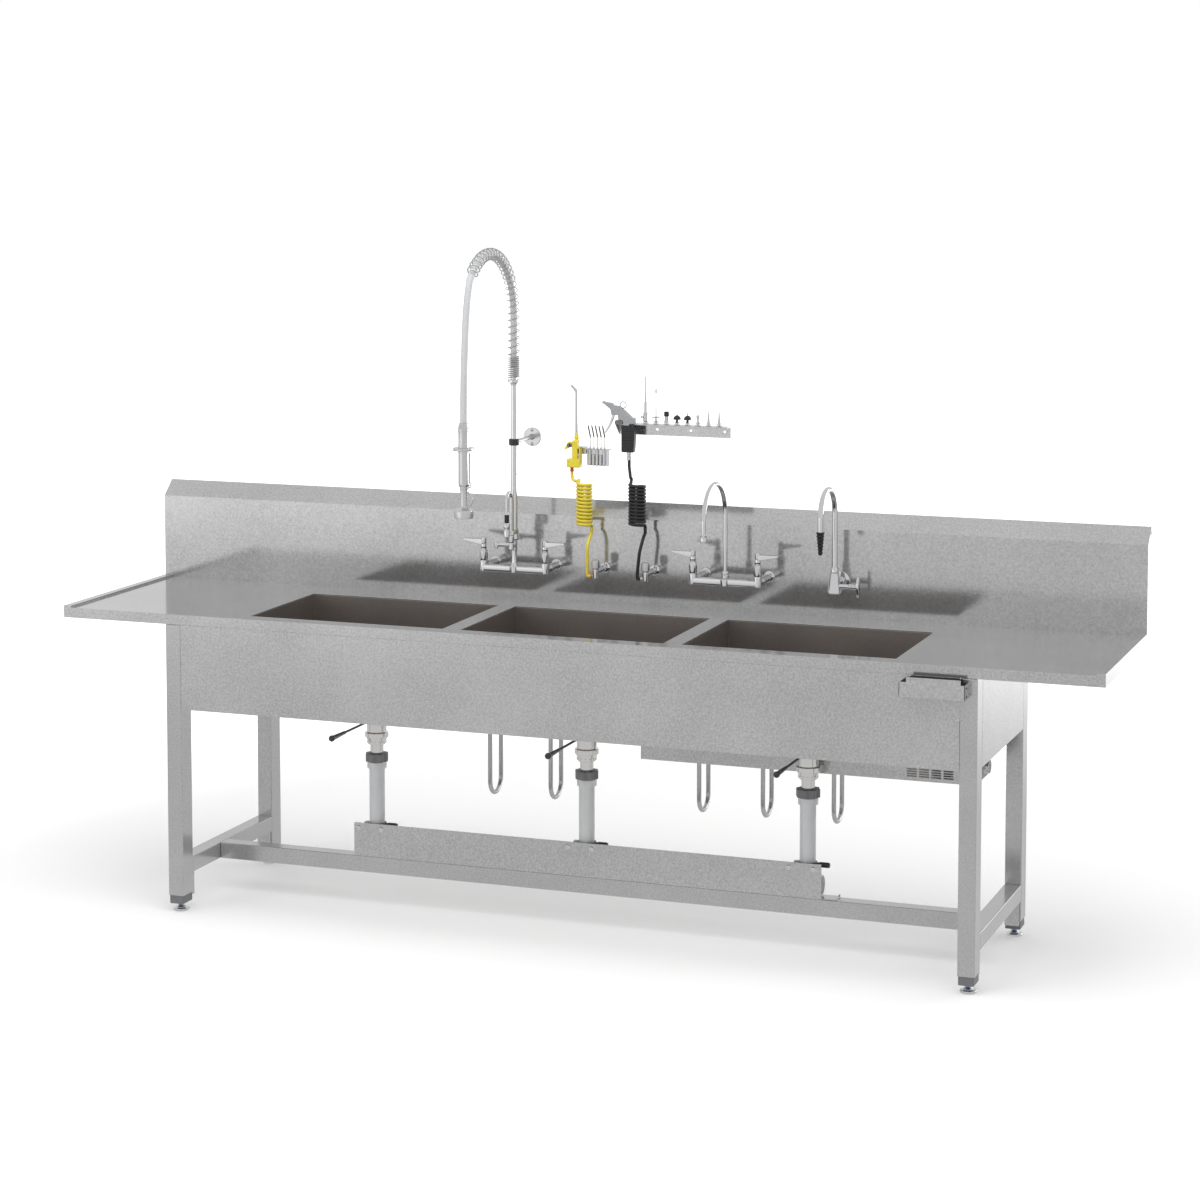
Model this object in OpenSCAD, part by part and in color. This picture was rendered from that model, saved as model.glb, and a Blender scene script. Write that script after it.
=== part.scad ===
// Three-bay decontamination sink: worktop, basins, frame, lever drains, taps, coiled-hose guns.
// X runs along the length, Y to the wall and Z up; the origin is on the floor below the middle.

/* [Worktop] */
// Length of the worktop
top_w = 3200; // [2900:10:3500]
// Depth from the front edge to the face of the splash
top_d = 646; // [620:2:700]
// Height of the work surface
top_z = 917; // [860:1:960]
// Thickness of the folded sheet
sheet = 3; // [2:0.5:4]
// Height of the front nosing and the end lips
nosing_h = 31; // [25:1:40]
// Width of the raised rim at each end
rim_w = 25; // [15:1:35]
// Rise of the rim above the work surface
rim_h = 6; // [3:1:10]

/* [Splash] */
// Height of the upright part above the work surface
splash_h = 266; // [240:2:300]
// Height of the sloping top strip
splash_slope_h = 47; // [35:1:55]
// Distance from the face of the splash to the wall
splash_d = 54; // [54:1:80]
// Depth of the hem that turns down at the back
splash_hem = 24; // [15:1:30]

/* [Basins] */
// Length of one basin
basin_w = 628; // [560:2:640]
// Basin size from front to back
basin_l = 442; // [400:2:460]
// Depth of a basin
basin_depth = 254; // [230:2:270]
// Distance between two basins
basin_gap = 56.5; // [50:0.5:70]
// Offset of the middle basin from the middle of the table
basin_shift = 6; // [0:1:20]
// Width of the deck in front of the basins
rim_front = 57; // [50:1:70]

/* [Frame] */
// Distance of a leg's middle from the end of the table
leg_inset = 375; // [300:5:400]
// Width of a leg along the table
leg_w = 50; // [40:1:60]
// Depth of a leg
leg_d = 65; // [50:1:70]
// Wall of the tubes
tube_wall = 2; // [1.5:0.5:3]
// Distance of a rear leg's front from the face of the splash
rear_leg_off = 43; // [30:1:60]
// Height of the apron's lower edge
apron_z = 627; // [610:1:640]
// Depth of the apron's bottom fold
apron_fold = 20; // [10:1:25]
// Height of the underside of the lower rails
rail_z = 111; // [100:1:150]
// Height of the lower rails
rail_h = 50; // [40:1:60]
// Distance from the line of the drains forward to the front of the long rail
stretcher_off = 34; // [34:1:53]
// Depth of the long rail
stretcher_w = 50; // [50:1:60]

/* [Feet] */
// Gap from the floor to the end of a leg
foot_gap = 25; // [23:1:40]
// Radius of a foot disc
foot_r = 24; // [20:1:30]
// Radius of a foot stem
foot_stem_r = 8; // [6:0.5:9]
// Travel of a foot below its rest height
foot_travel = 20; // [10:1:25]

/* [Drains] */
// Height of the lever pivot
lever_z = 586; // [578:1:592]
// Reach of a lever ball in front of the drain
lever_reach = 319; // [300:1:330]
// Radius of the lever ball
ball_r = 9.5; // [8:0.5:11]
// Radius of the drain body
drain_r = 30; // [28:0.5:32]
// Radius of the tailpiece
tail_r = 20; // [18:0.5:21]
// Radius of the clear tube
tube_r = 23.5; // [23.5:0.5:25]
// Radius of the stopper disc
stopper_r = 36; // [34:0.5:36.5]
// Radius of the stopper stem
stopper_stem_r = 5; // [4:0.5:6]
// Height of the manifold cover
cover_h = 103; // [95:1:120]
// Distance of the cover's end from the outer drain's middle
cover_past = 50.5; // [45:0.5:80]
// Radius of the manifold pipe
manifold_r = 30; // [28:1:31]

/* [Services] */
// Left end of the utility box
box_x0 = 157; // [140:1:200]
// Right end of the utility box
box_x1 = 1172; // [1120:1:1175]
// Distance from the line of the drains back to the front of the utility box
box_off = 54; // [53:1:67]
// Depth of the utility box
box_d = 168; // [150:1:190]
// Height of the utility box
box_h = 149; // [120:1:160]
// Radius of the supply tubes
supply_r = 7; // [6:0.5:8]
// Radius of a supply bend
supply_bend = 45; // [40:1:46]
// Height of the lowest point of the supply loops
supply_low_z = 290; // [270:1:320]
// Length of the control pod
pod_w = 186; // [170:1:200]
// Depth of the control pod
pod_d = 43; // [35:1:48]

/* [Taps] */
// Middle of the pre-rinse tap
rinse_x = -331.4; // [-360:1:-300]
// Middle of the double tap
double_x = 357; // [340:1:380]
// Middle of the single tap
single_x = 681; // [660:1:700]
// Distance between the inlets of a double tap
inlet_pitch = 203.2; // [200:0.2:210]
// Height of the inlets
inlet_z = 1028; // [1015:1:1040]
// Stand-off of the pre-rinse tap from the splash
rinse_off = 102; // [95:1:110]
// Stand-off of the double tap from the splash
double_off = 122; // [110:1:130]
// Stand-off of the single tap from the splash
single_off = 66; // [60:1:75]
// Radius of a valve body
valve_r = 12.5; // [11:0.5:14]
// Reach of the double tap's spout
double_reach = 209; // [190:1:220]
// Reach of the single tap's spout
single_reach = 157; // [140:1:170]
// Radius of the riser
riser_r = 10.5; // [9:0.5:11]
// Height of the top of the riser
riser_top_z = 1650; // [1630:1:1660]
// Height of the riser's wall bracket
bracket_z = 1418; // [1400:1:1450]
// Radius of the hose arch
arch_r = 196; // [180:1:210]
// Height of the centre of the hose arch
arch_z = 1809; // [1780:1:1830]
// Number of close turns of the spring
close_turns = 11; // [8:1:12]
// Number of open turns of the spring
open_turns = 28; // [24:1:30]
// Radius of the spring wire
wire_r = 2.2; // [1.5:0.1:2.4]

/* [Guns] */
// Middle of the left hose valve
left_valve_x = -70; // [-75:1:-65]
// Middle of the right hose valve
right_valve_x = 92; // [88:1:95]
// Stand-off of the hose valves from the splash
hose_valve_off = 86; // [80:1:90]
// Radius of the coiled hoses
coil_hose_r = 5; // [4:0.2:5]
// Half turns of each coiled hose
coil_half_turns = 23; // [21:2:23]
// Distance from the gun plane to the wall plane
gun_off = 50; // [45:1:55]
// Length of the pistol gun
gun_l = 106; // [100:1:110]
// Height of the pistol gun
gun_h = 158; // [150:1:165]

/* [Tool rail] */
// Left end of the tool rail
rail_x0 = -44; // [-50:1:-40]
// Right end of the tool rail
rail_x1 = 318; // [310:1:330]
// Height of the top of the tool rail
tool_rail_z = 1474; // [1474:1:1480]
// Height of the tool rail
tool_rail_h = 36; // [30:1:45]
// Distance between nozzles
nozzle_pitch = 33.85; // [32:0.5:36]
// Number of nozzles on the rail
nozzle_count = 8; // [6:1:8]

/* [Hidden] */
$fn = 48;

// Clearances and one overrun for all cuts
pin_fit = 0.05;
seat_gap = 0.3;
cut = 1;

// Main planes
wall_d = top_d + splash_d;
basin_pitch = basin_w + basin_gap;
front_reach = max(lever_reach + ball_r - rim_front - basin_l / 2, pod_d);
front_y = -(wall_d - front_reach) / 2;
wall_y = front_y + wall_d;
splash_y = front_y + top_d;
deck_z = top_z - sheet;
bend_z = top_z + splash_h;
splash_top_z = bend_z + splash_slope_h;
nosing_z = top_z - nosing_h;
basin_y0 = front_y + rim_front;
basin_y1 = basin_y0 + basin_l;
drain_y = basin_y0 + basin_l / 2;
floor_z = top_z - basin_depth;
rear_leg_y = splash_y - rear_leg_off;
leg_x = top_w / 2 - leg_inset;
leg_in = leg_x - leg_w / 2;
leg_out = leg_x + leg_w / 2;
rail_top = rail_z + rail_h;
stretcher_y = drain_y - stretcher_off;
basin_xs = [basin_shift - basin_pitch, basin_shift, basin_shift + basin_pitch];

// Splash plug
plug_x = -688;
plug_r = 18;
plug_t = 4;
plug_drop = 8;
plug_z = inlet_z - plug_drop;

// Frame details
leg_plug_h = 50;
bracket_d = 15;
bracket_side = 4;
bracket_low = 40;

// Foot profile
foot_disc_h = 8;
foot_neck_gap = 4;
foot_neck_r = 14;
foot_neck_h = foot_gap - foot_disc_h - foot_neck_gap;
foot_stem_top = foot_gap + leg_plug_h + foot_travel / 2;

// Manifold
cover_x = basin_shift + basin_pitch + cover_past;
cover_tail = 44;
cover_fin = 7;
screw_r = 8.5;
screw_cap_r = 9.3;
screw_drop = 16;
screw_pitch = 75;
screw_shift = -11;
manifold_wall = 3.5;
manifold_in = 6;
socket_r = 29;
socket_h = 84;
socket_top = rail_top + sheet + socket_h;
tube_foot_z = rail_top + sheet + 2 * manifold_r - manifold_wall + 2 * seat_gap;
clamp_h = 14;
clamp_grip_r = 8;
clamp_grip_l = 38;
clamp_tab_w = 12;
clamp_tab_d = 16;

// Drain profile, from the basin floor down
flange_r = 56;
flange_t = 3;
throat_r = 43.5;
throat_gap = 0.5;
locknut_r = 52;
locknut_h = 12;
throat_h = 23;
throat_low = floor_z - throat_h;
cone_drop = 30;
cone_low = throat_low - cone_drop;
ring_r = 36;
ring_drop = 120;
ring_top = floor_z - ring_drop;
ring_t = 15.5;
ring_low = ring_top - ring_t;
taper_top_r = 33;
taper_low_r = 26;
taper_h = 21.5;
taper_low = ring_low - taper_h;
nut_drop = 184;
nut_top = floor_z - nut_drop;
nut_h = 28;
nut_low = nut_top - nut_h;
nut_r = 31;
nut_lobe_r = 7;
nut_lobe_in = 1.5;
nut_lobes = 8;
collar_r = 29.5;
collar_h = 20;
collar_low = nut_low - collar_h;
tail_in = 11;
tail_low = nut_low - tail_in;
tail_bore = 16.5;
body_bore = 26;
seat_drop = 8;
seat_z = floor_z - seat_drop;
mouth_r = 37;
spider_drop = 38;
spider_z = floor_z - spider_drop;
spider_h = 7;
spider_arm = 6;
spider_hub = 9;
stopper_h = 6;
stopper_knob_r = 8;
stopper_knob_h = 11;
stopper_stem_l = 44;

// Drain lever
pivot_off = 42;
pivot_pin_r = 3;
eye_r = 8;
eye_w = 8;
cheek_gap = 0.4;
cheek_w = 5;
cheek_h = 16;
boss_r = 12;
boss_reach = 33.5;
rod_r = 3.5;
grip_l = 91;
grip_r0 = 5;
grip_r1 = 7.5;

// Utility box and its louvre
box_bottom = floor_z - sheet - box_h;
louvre_x0 = 970;
louvre_pitch = 36;
louvre_cols = 4;
louvre_rows = 4;
louvre_slot = [28, 3.5];
louvre_up = 12;
louvre_z = box_bottom + louvre_up;
louvre_step = 7;
gland_r = 20;
gland_l = 22;

// Supply loops
supply_off = 20;
supply_rear_y = wall_y - supply_off;
supply_front_y = supply_rear_y - 2 * supply_bend;
supply_elbow = 18;
supply_arc_z = supply_low_z + supply_r + supply_bend;
shank_r = 11;
shank_tail = 6;
supply_nut_r = 13;
supply_nut_l = 10;

// Control pod
pod_x0 = 1038;
pod_z0 = 831;
pod_h = 42;
pod_step_h = 14;
pod_step_x0 = 21;
pod_step_x1 = 12;
pod_lid = 3;
pod_screw_r = 3;
pod_screw_h = 1.5;
pod_screw_z = [8, 32];

// Valve bodies and handles
valve_drop = 15;
valve_low = inlet_z - valve_drop;
valve_rise = 54;
valve_top = inlet_z + valve_rise;
bar_y = 13;
bar_h = 22;
tap_flange_r = 18;
tap_flange_t = 7;
tap_nut_r = 15;
tap_nut_t = 12;
stem_pin_r = 4;
stem_pin_h = 16;
hub_r = 8.5;
hub_h = 35;
ring_h = 6;
ring_z = 3;
ring_out = 1;
blade_l = 66;
blade_t = 17;
blade_drop = 5;
blade_h = 17;
blade_tip_h = 5;
blade_waist_share = 0.6;

// Pre-rinse tap
rinse_y = splash_y - rinse_off;
column_r = 8.5;
column_foot_r = 12;
column_foot_h = 9;
arm_rise = 69;
arm_z = inlet_z + arm_rise;
arm_r = 7;
arm_l = 58;
arm_tip_r = 8.5;
arm_outlet_r = 4;
arm_outlet_l = 5;
dome_r = 16;
dome_h = 6;
dome_rise = 88;
dome_z = inlet_z + dome_rise;
dome_nut_h = 18;
dome_top = dome_z + dome_nut_h;
riser_nut_r = 13.5;
riser_nut_h = 14;
spring_seat_r = 20;
spring_seat_h = 9;
spring_z0 = 1611;
close_z1 = 1681;
spring_r = 17.3;
spring_end_angle = 134;
spring_sides = 6;
spring_rings = 8;
arch_steps = 12;
bracket_ring_r = 16;
bracket_ring_h = 20;
bracket_arm_r = 6.5;
bracket_flange_r = 29.5;
bracket_flange_t = 5;
bracket_hole_r = 4;
bracket_hole_pitch = 43;

// Add-on spout
add_on_off = 23;
add_on_reach = 38;
add_on_post_r = 9;
add_on_post_low = 10;
add_on_rise = 103;
add_on_top = inlet_z + add_on_rise;
add_on_hub_h = 14;
add_on_tube_r = 5;
add_on_arc_h = 116;
add_on_arc_z = add_on_top + add_on_arc_h;
add_on_tip_r = 9.5;
add_on_sleeve_r = 7;
add_on_tip_h = 44;
add_on_sleeve_z = add_on_top + add_on_tip_h;
add_on_sleeve_h = 26;
add_on_flare_z = add_on_sleeve_z + add_on_sleeve_h;
pivot_pin_h = 11;

// Spray valve
spray_off = 145;
spray_y = front_y + spray_off;
spray_top = 1517;
spray_grip_r = 17;
spray_ring_z = 1435;
spray_ring_h = 9;
spray_ring_r = 32;
spray_grip_low = 1328;
spray_neck_r = 12;
spray_neck_low = 1265;
bell_r = 28.5;
bell_low = 1235;
bell_bore_r = 24;
bell_bore_h = 14;
bell_shoulder_h = 7;
spray_lever_z = 1329;
spray_lever_gap = 0.5;
spray_lever_t = 4;
spray_lever_w = 14;
spray_lever_l = 96;
spray_ear_w = 4;
spray_ear_reach = 31;
spray_pin_r = 3;
spray_knob_r = 8;

// Hose tubes
hose_r = 10.5;
hose_sides = 10;
coil_sides = 6;
coil_rings = 8;

// Double tap
double_y = splash_y - double_off;
double_tube_r = 7;
spout_nut_r = 11.5;
spout_nut_h = 22;
double_arc_h = 200;
double_arc_z = inlet_z + double_arc_h;
double_tip_h = 146;
double_tip_z = inlet_z + double_tip_h;
aerator_r = 9.5;
aerator_h = 23;
spout_pin_r = 5;
spout_pin_h = 13;

// Single tap
single_y = splash_y - single_off;
single_drop = 28;
single_low = inlet_z - single_drop;
single_rise = 34;
single_top = inlet_z + single_rise;
single_r0 = 21;
single_r1 = 13;
single_flange_r = 30;
single_flange_t = 6;
single_shank_r = 13;
single_tube_r = 8.5;
single_nut_r = 12;
single_nut_h = 17;
single_arc_h = 214;
single_arc_z = inlet_z + single_arc_h;
single_end_h = 177;
single_end_z = inlet_z + single_end_h;
side_stem_r = 8;
side_stem_l = 64;
side_stem_drop = 6;
side_stem_z = inlet_z - side_stem_drop;
side_pin_r = 4;
side_pin_l = 9;
wing_h = 64;
wing_w = 20;
wing_t = 8;
wing_hub_r = 10;
wing_hub_l = 12;
nozzle_rings = 7;
nozzle_l = 68;
nozzle_r0 = 11;
nozzle_r1 = 5;
nozzle_lip = 1.4;

// Hose valves
hose_valve_y = splash_y - hose_valve_off;
hose_valve_drop = 22;
hose_valve_low = inlet_z - hose_valve_drop;
hose_valve_rise = 10;
hose_valve_mid = inlet_z + hose_valve_rise;
hose_cap_h = 26;
hose_valve_body_r = 10.5;
barb_r = 6;
barb_l = 5;
hose_shank_r = 8;
barb_drop = 15;
barb_z = inlet_z - barb_drop;

// Gun plane
gun_y = wall_y - gun_off;
gun_t = 22;

// Left gun, measured from the axis of its wand
left_gun_x = -166;
left_block_z = 1334;
left_block_h = 27;
left_block_x0 = -30;
left_block_x1 = 15;
left_body_top = 1418;
left_body_x0 = -12;
left_body_x1 = 6;
left_ball_r = 7.5;
left_ball_z = 1427;
left_collar_top = 1440;
wand_r = 4.5;
wand_bend_z = 1566;
wand_bend_r = 12;
wand_tip_r = 3.6;
wand_tip_in = 3;
wand_tip_l = 20;
wand_angle = 45;
loop_w = 4;
loop_top = 1397;
left_union_r = 6;
left_union_l = 13;
left_union_x = -15;
trigger_pin_x = -23;
trigger_pin_z = 1403;
trigger_pin_r = 3;
trigger_t = 8;
trigger_ear = 4;
trigger_ear_r = 6;
trigger_l = 17;
trigger_h = 14;
left_trigger_shares = [
    [-0.12, 0.8], [0.3, 0.64], [0.53, 0.21], [0.35, -0.29], [-0.76, -1], [-1, -0.71], [-0.53, 0]
];

// Right gun, as shares of its length and height from the grip's lower left
right_gun_x = -79.6;
right_gun_z = 1388;
right_gun_shares = [
    [0.01, 0.985], [0.08, 0.965], [0.28, 0.95], [0.35, 0.905], [0.52, 0.895], [0.7, 0.8],
    [0.84, 0.715], [0.91, 0.675], [1, 0.665], [1, 0.56], [0.86, 0.555], [0.83, 0.52], [0.66, 0.52],
    [0.64, 0.615], [0.5, 0.63], [0.49, 0.725], [0.37, 0.715], [0.29, 0.73], [0.27, 0.8], [0.26, 0.83],
    [0.12, 0.905], [0.06, 0.93], [0, 0.96]
];
grip_shares = [[0.6, 0.52], [0.93, 0.52], [1, 0.48], [1, 0.3], [0.97, 0], [0.6, 0]];
right_gun_t = 20;
hang_ring_r = 9.8;
hang_wire_r = 1.7;
hang_ring_share = [0.63, 0.92];
right_pin_share = [0.33, 0.76];
right_pin_r = 2.5;
right_ear_r = 5;
right_trigger_t = 9;
right_trigger_shares = [
    [0.27, 0.785], [0.3, 0.805], [0.35, 0.805], [0.382, 0.78], [0.382, 0.735], [0.34, 0.66],
    [0.3, 0.59], [0.23, 0.49], [0.09, 0.36], [0.07, 0.375], [0.19, 0.52], [0.25, 0.62],
    [0.285, 0.7], [0.27, 0.75]
];
right_union_r = 8;
right_union_l = 25;
right_union_share = 0.815;

// Tool rail, its hook and the needle holder
shelf_d = 38;
rail_hole_r = 4;
rail_hole_pitch = 108.7;
rail_hole_x0 = 16.5;
rail_hole_count = 4;
rail_hole_drop = 17.5;
hook_x0 = -38;
hook_w = 25;
hook_h = 11;
hook_out = 20;
hook_back = 5;
holder_x0 = -139;
holder_x1 = -65;
holder_z0 = 1340;
holder_h = 50;
holder_d = 34;
holder_arm_x0 = -176;
holder_arm_z0 = 1375;
holder_arm_h = 20;
needle_count = 5;
needle_pitch = 11.8;
needle_x0 = -128;
needle_r = 1.8;
needle_straight = 40;
needle_tip_r = 2.3;
needle_tip_l = 38;
needle_lean = 12;
needle_tube_r = 5;
needle_tube_low = 16;
nozzle_x0 = 52;
nozzle_off = 27;
nozzle_y = wall_y - nozzle_off;

// Nozzles
nozzle_foot_r = 9;
nozzle_foot_h = 8;
tall_r = 5;
tall_h = 139;
tall_port_z = 96;
tall_port_r = 3;
tall_port_l = 13;
needle_rod_r = 2.5;
needle_rod_h = 112;
disc_r = 8;
disc_h = 4;
disc_z = 58;
cap_r = 10;
cap_h = 12;
cap_skirt_r = 12;
cap_skirt_h = 4;
dome_cap_r = 12;
dome_stem_r = 4;
dome_stem_h = 18;
spool_r = 8;
spool_h = 5;
spool_core_r = 4;
spool_core_h = 16;
cone_r = 8;
cone_tip_r = 2;
cone_h = 38;

// Coiled hoses; the routes give X, the distance in front of the splash, and Z
coil_lift = 6;
coil_swing = 8;
left_coil_x = -118;
left_coil_z0 = 1166;
left_coil_z1 = 1294;
left_coil_r = 21;
left_coil_off = 56;
left_drop = [
    [-97, 86, 1024], [-97, 86, 1040], [-97, 86, 1065], [-97, 86, 1090], [-97, 80, 1112], [-97, 62, 1132]
];
left_rise = [[-150, 38, 1297], [-166, 16, 1296], [-177, 1, 1299]];
right_coil_x = 54;
right_coil_r = 23;
right_coil_z0 = 1174;
right_coil_z1 = 1297;
right_coil_off = 56;
right_drop = [[65, 86, 1024], [66, 86, 1040], [69, 86, 1065], [72, 86, 1092], [75, 78, 1114], [77, 62, 1138]];
right_rise = [[26, 38, 1316], [18, 22, 1332], [9, 2, 1344]];

// The spray hose beyond its arch; the route gives the distance from the front edge, and Z
spray_route = [
    [196, 1930], [182, 1895], [171, 1850], [163, 1800], [157, 1745], [152, 1690], [148, 1630], [146, 1570]
];

// Tubes swept along points
function unit(v) = v / norm(v);
function tangents(p) = [for (i = [0 : len(p) - 1]) unit(p[min(i + 1, len(p) - 1)] - p[max(i - 1, 0)])];
function side_of(t) = abs(t[0]) < 0.9 ? unit(cross(t, [0, 1, 0]) + cross(t, [1, 0, 0]) * 0.01)
    : unit(cross(t, [0, 0, 1]));
function carried(t) = [
    for (i = 0, u = side_of(t[0]); i < len(t); i = i + 1, u = i < len(t) ? unit(u - (u * t[i]) * t[i]) : u) u
];
function ring_points(c, t, u, r, n) = [
    for (k = [0 : n - 1])
        c + r * (cos(360 * k / n) * u + sin(360 * k / n) * cross(t, u))
];
function side_faces(rings, n) = [
    for (i = [0 : rings - 2], k = [0 : n - 1], half = [0, 1])
        half == 0
        ? [i * n + k, (i + 1) * n + k, (i + 1) * n + (k + 1) % n]
        : [i * n + k, (i + 1) * n + (k + 1) % n, i * n + (k + 1) % n]
];
function cap_faces(start, n, flip) = [
    for (k = [1 : n - 2])
        flip ? [start, start + k + 1, start + k] : [start, start + k, start + k + 1]
];
module sweep(p, r, n) {
    t = tangents(p);
    u = carried(t);
    points = [for (i = [0 : len(p) - 1]) each ring_points(p[i], t[i], u[i], r, n)];
    polyhedron(
        points = points,
        faces = concat(cap_faces(0, n, false), side_faces(len(p), n), cap_faces((len(p) - 1) * n, n, true))
    );
}
// Least distance between turns that lie at least one turn apart, less the wire
function turn_gap(p, r, step) = min([
    for (i = [0 : len(p) - 1 - step], j = [i + step - 1, i + step])
        norm(p[i] - p[j])
]) - 2 * r;

// Solids between two corners, and cylinders along Y and X
module block(a, b) translate(a) cube(b - a);
module along_y(r, l) rotate([-90, 0, 0]) cylinder(r = r, h = l);
module along_x(r, l) rotate([0, 90, 0]) cylinder(r = r, h = l);
module across_x(x0, x1) translate([x0, 0, 0]) rotate([90, 0, 90]) linear_extrude(x1 - x0) children();
module across_y(y0, y1) translate([0, y1, 0]) rotate([90, 0, 0]) linear_extrude(y1 - y0) children();

// Worktop and splash
module basin_opening(cx) {
    block([cx - basin_w / 2, basin_y0, deck_z - cut], [cx + basin_w / 2, basin_y1, top_z + cut]);
}
module worktop() {
    half = top_w / 2;
    color("silver") {
        difference() {
            block([-half, front_y, deck_z], [half, splash_y, top_z]);
            for (cx = basin_xs) basin_opening(cx);
        }
        block([-half, front_y, nosing_z], [half, front_y + sheet, deck_z]);
        for (side = [-1, 1]) {
            lip = side * half;
            in_lip = side * (half - sheet);
            in_rim = side * (half - rim_w);
            block([min(lip, in_lip), front_y + sheet, nosing_z], [max(lip, in_lip), splash_y, deck_z]);
            block([min(lip, in_rim), front_y, top_z], [max(lip, in_rim), splash_y, top_z + rim_h]);
        }
    }
}
function splash_outline() = [
    [splash_y, deck_z],
    [splash_y, bend_z],
    [wall_y - sheet, splash_top_z],
    [wall_y, splash_top_z],
    [wall_y, splash_top_z - splash_hem],
    [wall_y - sheet, splash_top_z - splash_hem],
    [wall_y - sheet, splash_top_z - sheet * sqrt(2)],
    [splash_y + sheet, bend_z - sheet * (sqrt(2) - 1)],
    [splash_y + sheet, deck_z]
];
function inlet_xs() = [
    rinse_x - inlet_pitch / 2, rinse_x + inlet_pitch / 2,
    double_x - inlet_pitch / 2, double_x + inlet_pitch / 2, single_x
];
module shank_hole(x) {
    translate([x, splash_y - cut, inlet_z]) along_y(shank_r + pin_fit, sheet + 2 * cut);
}
module backsplash() {
    color("silver") {
        difference() {
            across_x(-top_w / 2, top_w / 2) polygon(splash_outline());
            for (x = inlet_xs()) shank_hole(x);
        }
        translate([plug_x, splash_y - plug_t, plug_z]) along_y(plug_r, plug_t + sheet / 2);
    }
}

// Skirt: an apron with a fold between the front legs, and a panel at each end
module skirt() {
    color("silver") {
        block([-leg_in, front_y, apron_z], [leg_in, front_y + sheet, nosing_z]);
        block([-leg_in, front_y + sheet, apron_z], [leg_in, front_y + apron_fold, apron_z + sheet]);
        for (side = [-1, 1]) {
            a = side * leg_out;
            b = side * (leg_out - sheet);
            block([min(a, b), front_y + leg_d, apron_z], [max(a, b), rear_leg_y, deck_z]);
        }
    }
}

// Basins
module basin(cx) {
    x0 = cx - basin_w / 2;
    x1 = cx + basin_w / 2;
    color("gray")
        difference() {
            block([x0 - sheet, basin_y0 - sheet, floor_z - sheet], [x1 + sheet, basin_y1 + sheet, deck_z]);
            block([x0, basin_y0, floor_z], [x1, basin_y1, deck_z + cut]);
            translate([cx, drain_y, floor_z - sheet - cut])
                cylinder(r = throat_r + throat_gap, h = sheet + 2 * cut);
        }
}
module basin_left() basin(basin_xs[0]);
module basin_middle() basin(basin_xs[1]);
module basin_right() basin(basin_xs[2]);

// Legs with a plug that guides each foot
module leg(cx, y0, notch) {
    x0 = cx - leg_w / 2;
    x1 = cx + leg_w / 2;
    plug_top = foot_gap + leg_plug_h;
    color("silver")
        difference() {
            union() {
                difference() {
                    block([x0, y0, foot_gap + leg_plug_h / 2], [x1, y0 + leg_d, deck_z]);
                    block(
                        [x0 + tube_wall, y0 + tube_wall, 0],
                        [x1 - tube_wall, y0 + leg_d - tube_wall, deck_z + cut]
                    );
                }
                block(
                    [x0 + tube_wall, y0 + tube_wall, foot_gap],
                    [x1 - tube_wall, y0 + leg_d - tube_wall, plug_top]
                );
            }
            translate([cx, y0 + leg_d / 2, 0]) cylinder(r = foot_stem_r + pin_fit, h = plug_top + cut);
            if (notch)
                block([cx - leg_w, y0 - cut, nosing_z], [cx + leg_w, y0 + sheet, deck_z + cut]);
        }
}
module leg_front_left() leg(-leg_x, front_y, true);
module leg_front_right() leg(leg_x, front_y, true);
module leg_rear_left() leg(-leg_x, rear_leg_y, false);
module leg_rear_right() leg(leg_x, rear_leg_y, false);

module foot(cx, y0) {
    translate([cx, y0 + leg_d / 2, 0]) {
        color("gainsboro") cylinder(r = foot_r, h = foot_disc_h);
        color("slategray") translate([0, 0, foot_disc_h])
            cylinder(r1 = foot_neck_r, r2 = foot_stem_r, h = foot_neck_h);
        color("slategray") cylinder(r = foot_stem_r, h = foot_stem_top);
    }
}
module foot_front_left() foot(-leg_x, front_y);
module foot_front_right() foot(leg_x, front_y);
module foot_rear_left() foot(-leg_x, rear_leg_y);
module foot_rear_right() foot(leg_x, rear_leg_y);

// Lower rails: one between the legs at each end and a long one between them
module rail_brackets(side) {
    x0 = side * leg_x - leg_w / 2 + bracket_side;
    x1 = side * leg_x + leg_w / 2 - bracket_side;
    block([x0, front_y + leg_d, bracket_low], [x1, front_y + leg_d + bracket_d, rail_z]);
    block([x0, rear_leg_y - bracket_d, bracket_low], [x1, rear_leg_y, rail_z]);
}
module end_rail(side) {
    x0 = side * leg_x - leg_w / 2;
    difference() {
        block([x0, front_y + leg_d, rail_z], [x0 + leg_w, rear_leg_y, rail_top]);
        block(
            [x0 + tube_wall, front_y, rail_z + tube_wall],
            [x0 + leg_w - tube_wall, rear_leg_y + cut, rail_top - tube_wall]
        );
    }
}
module base_rails() {
    y0 = stretcher_y;
    y1 = stretcher_y + stretcher_w;
    color("silver") {
        for (side = [-1, 1]) {
            end_rail(side);
            rail_brackets(side);
        }
        difference() {
            block([-leg_in, y0, rail_z], [leg_in, y1, rail_top]);
            block(
                [-leg_in - cut, y0 + tube_wall, rail_z + tube_wall],
                [leg_in + cut, y1 - tube_wall, rail_top - tube_wall]
            );
        }
    }
}

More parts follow.
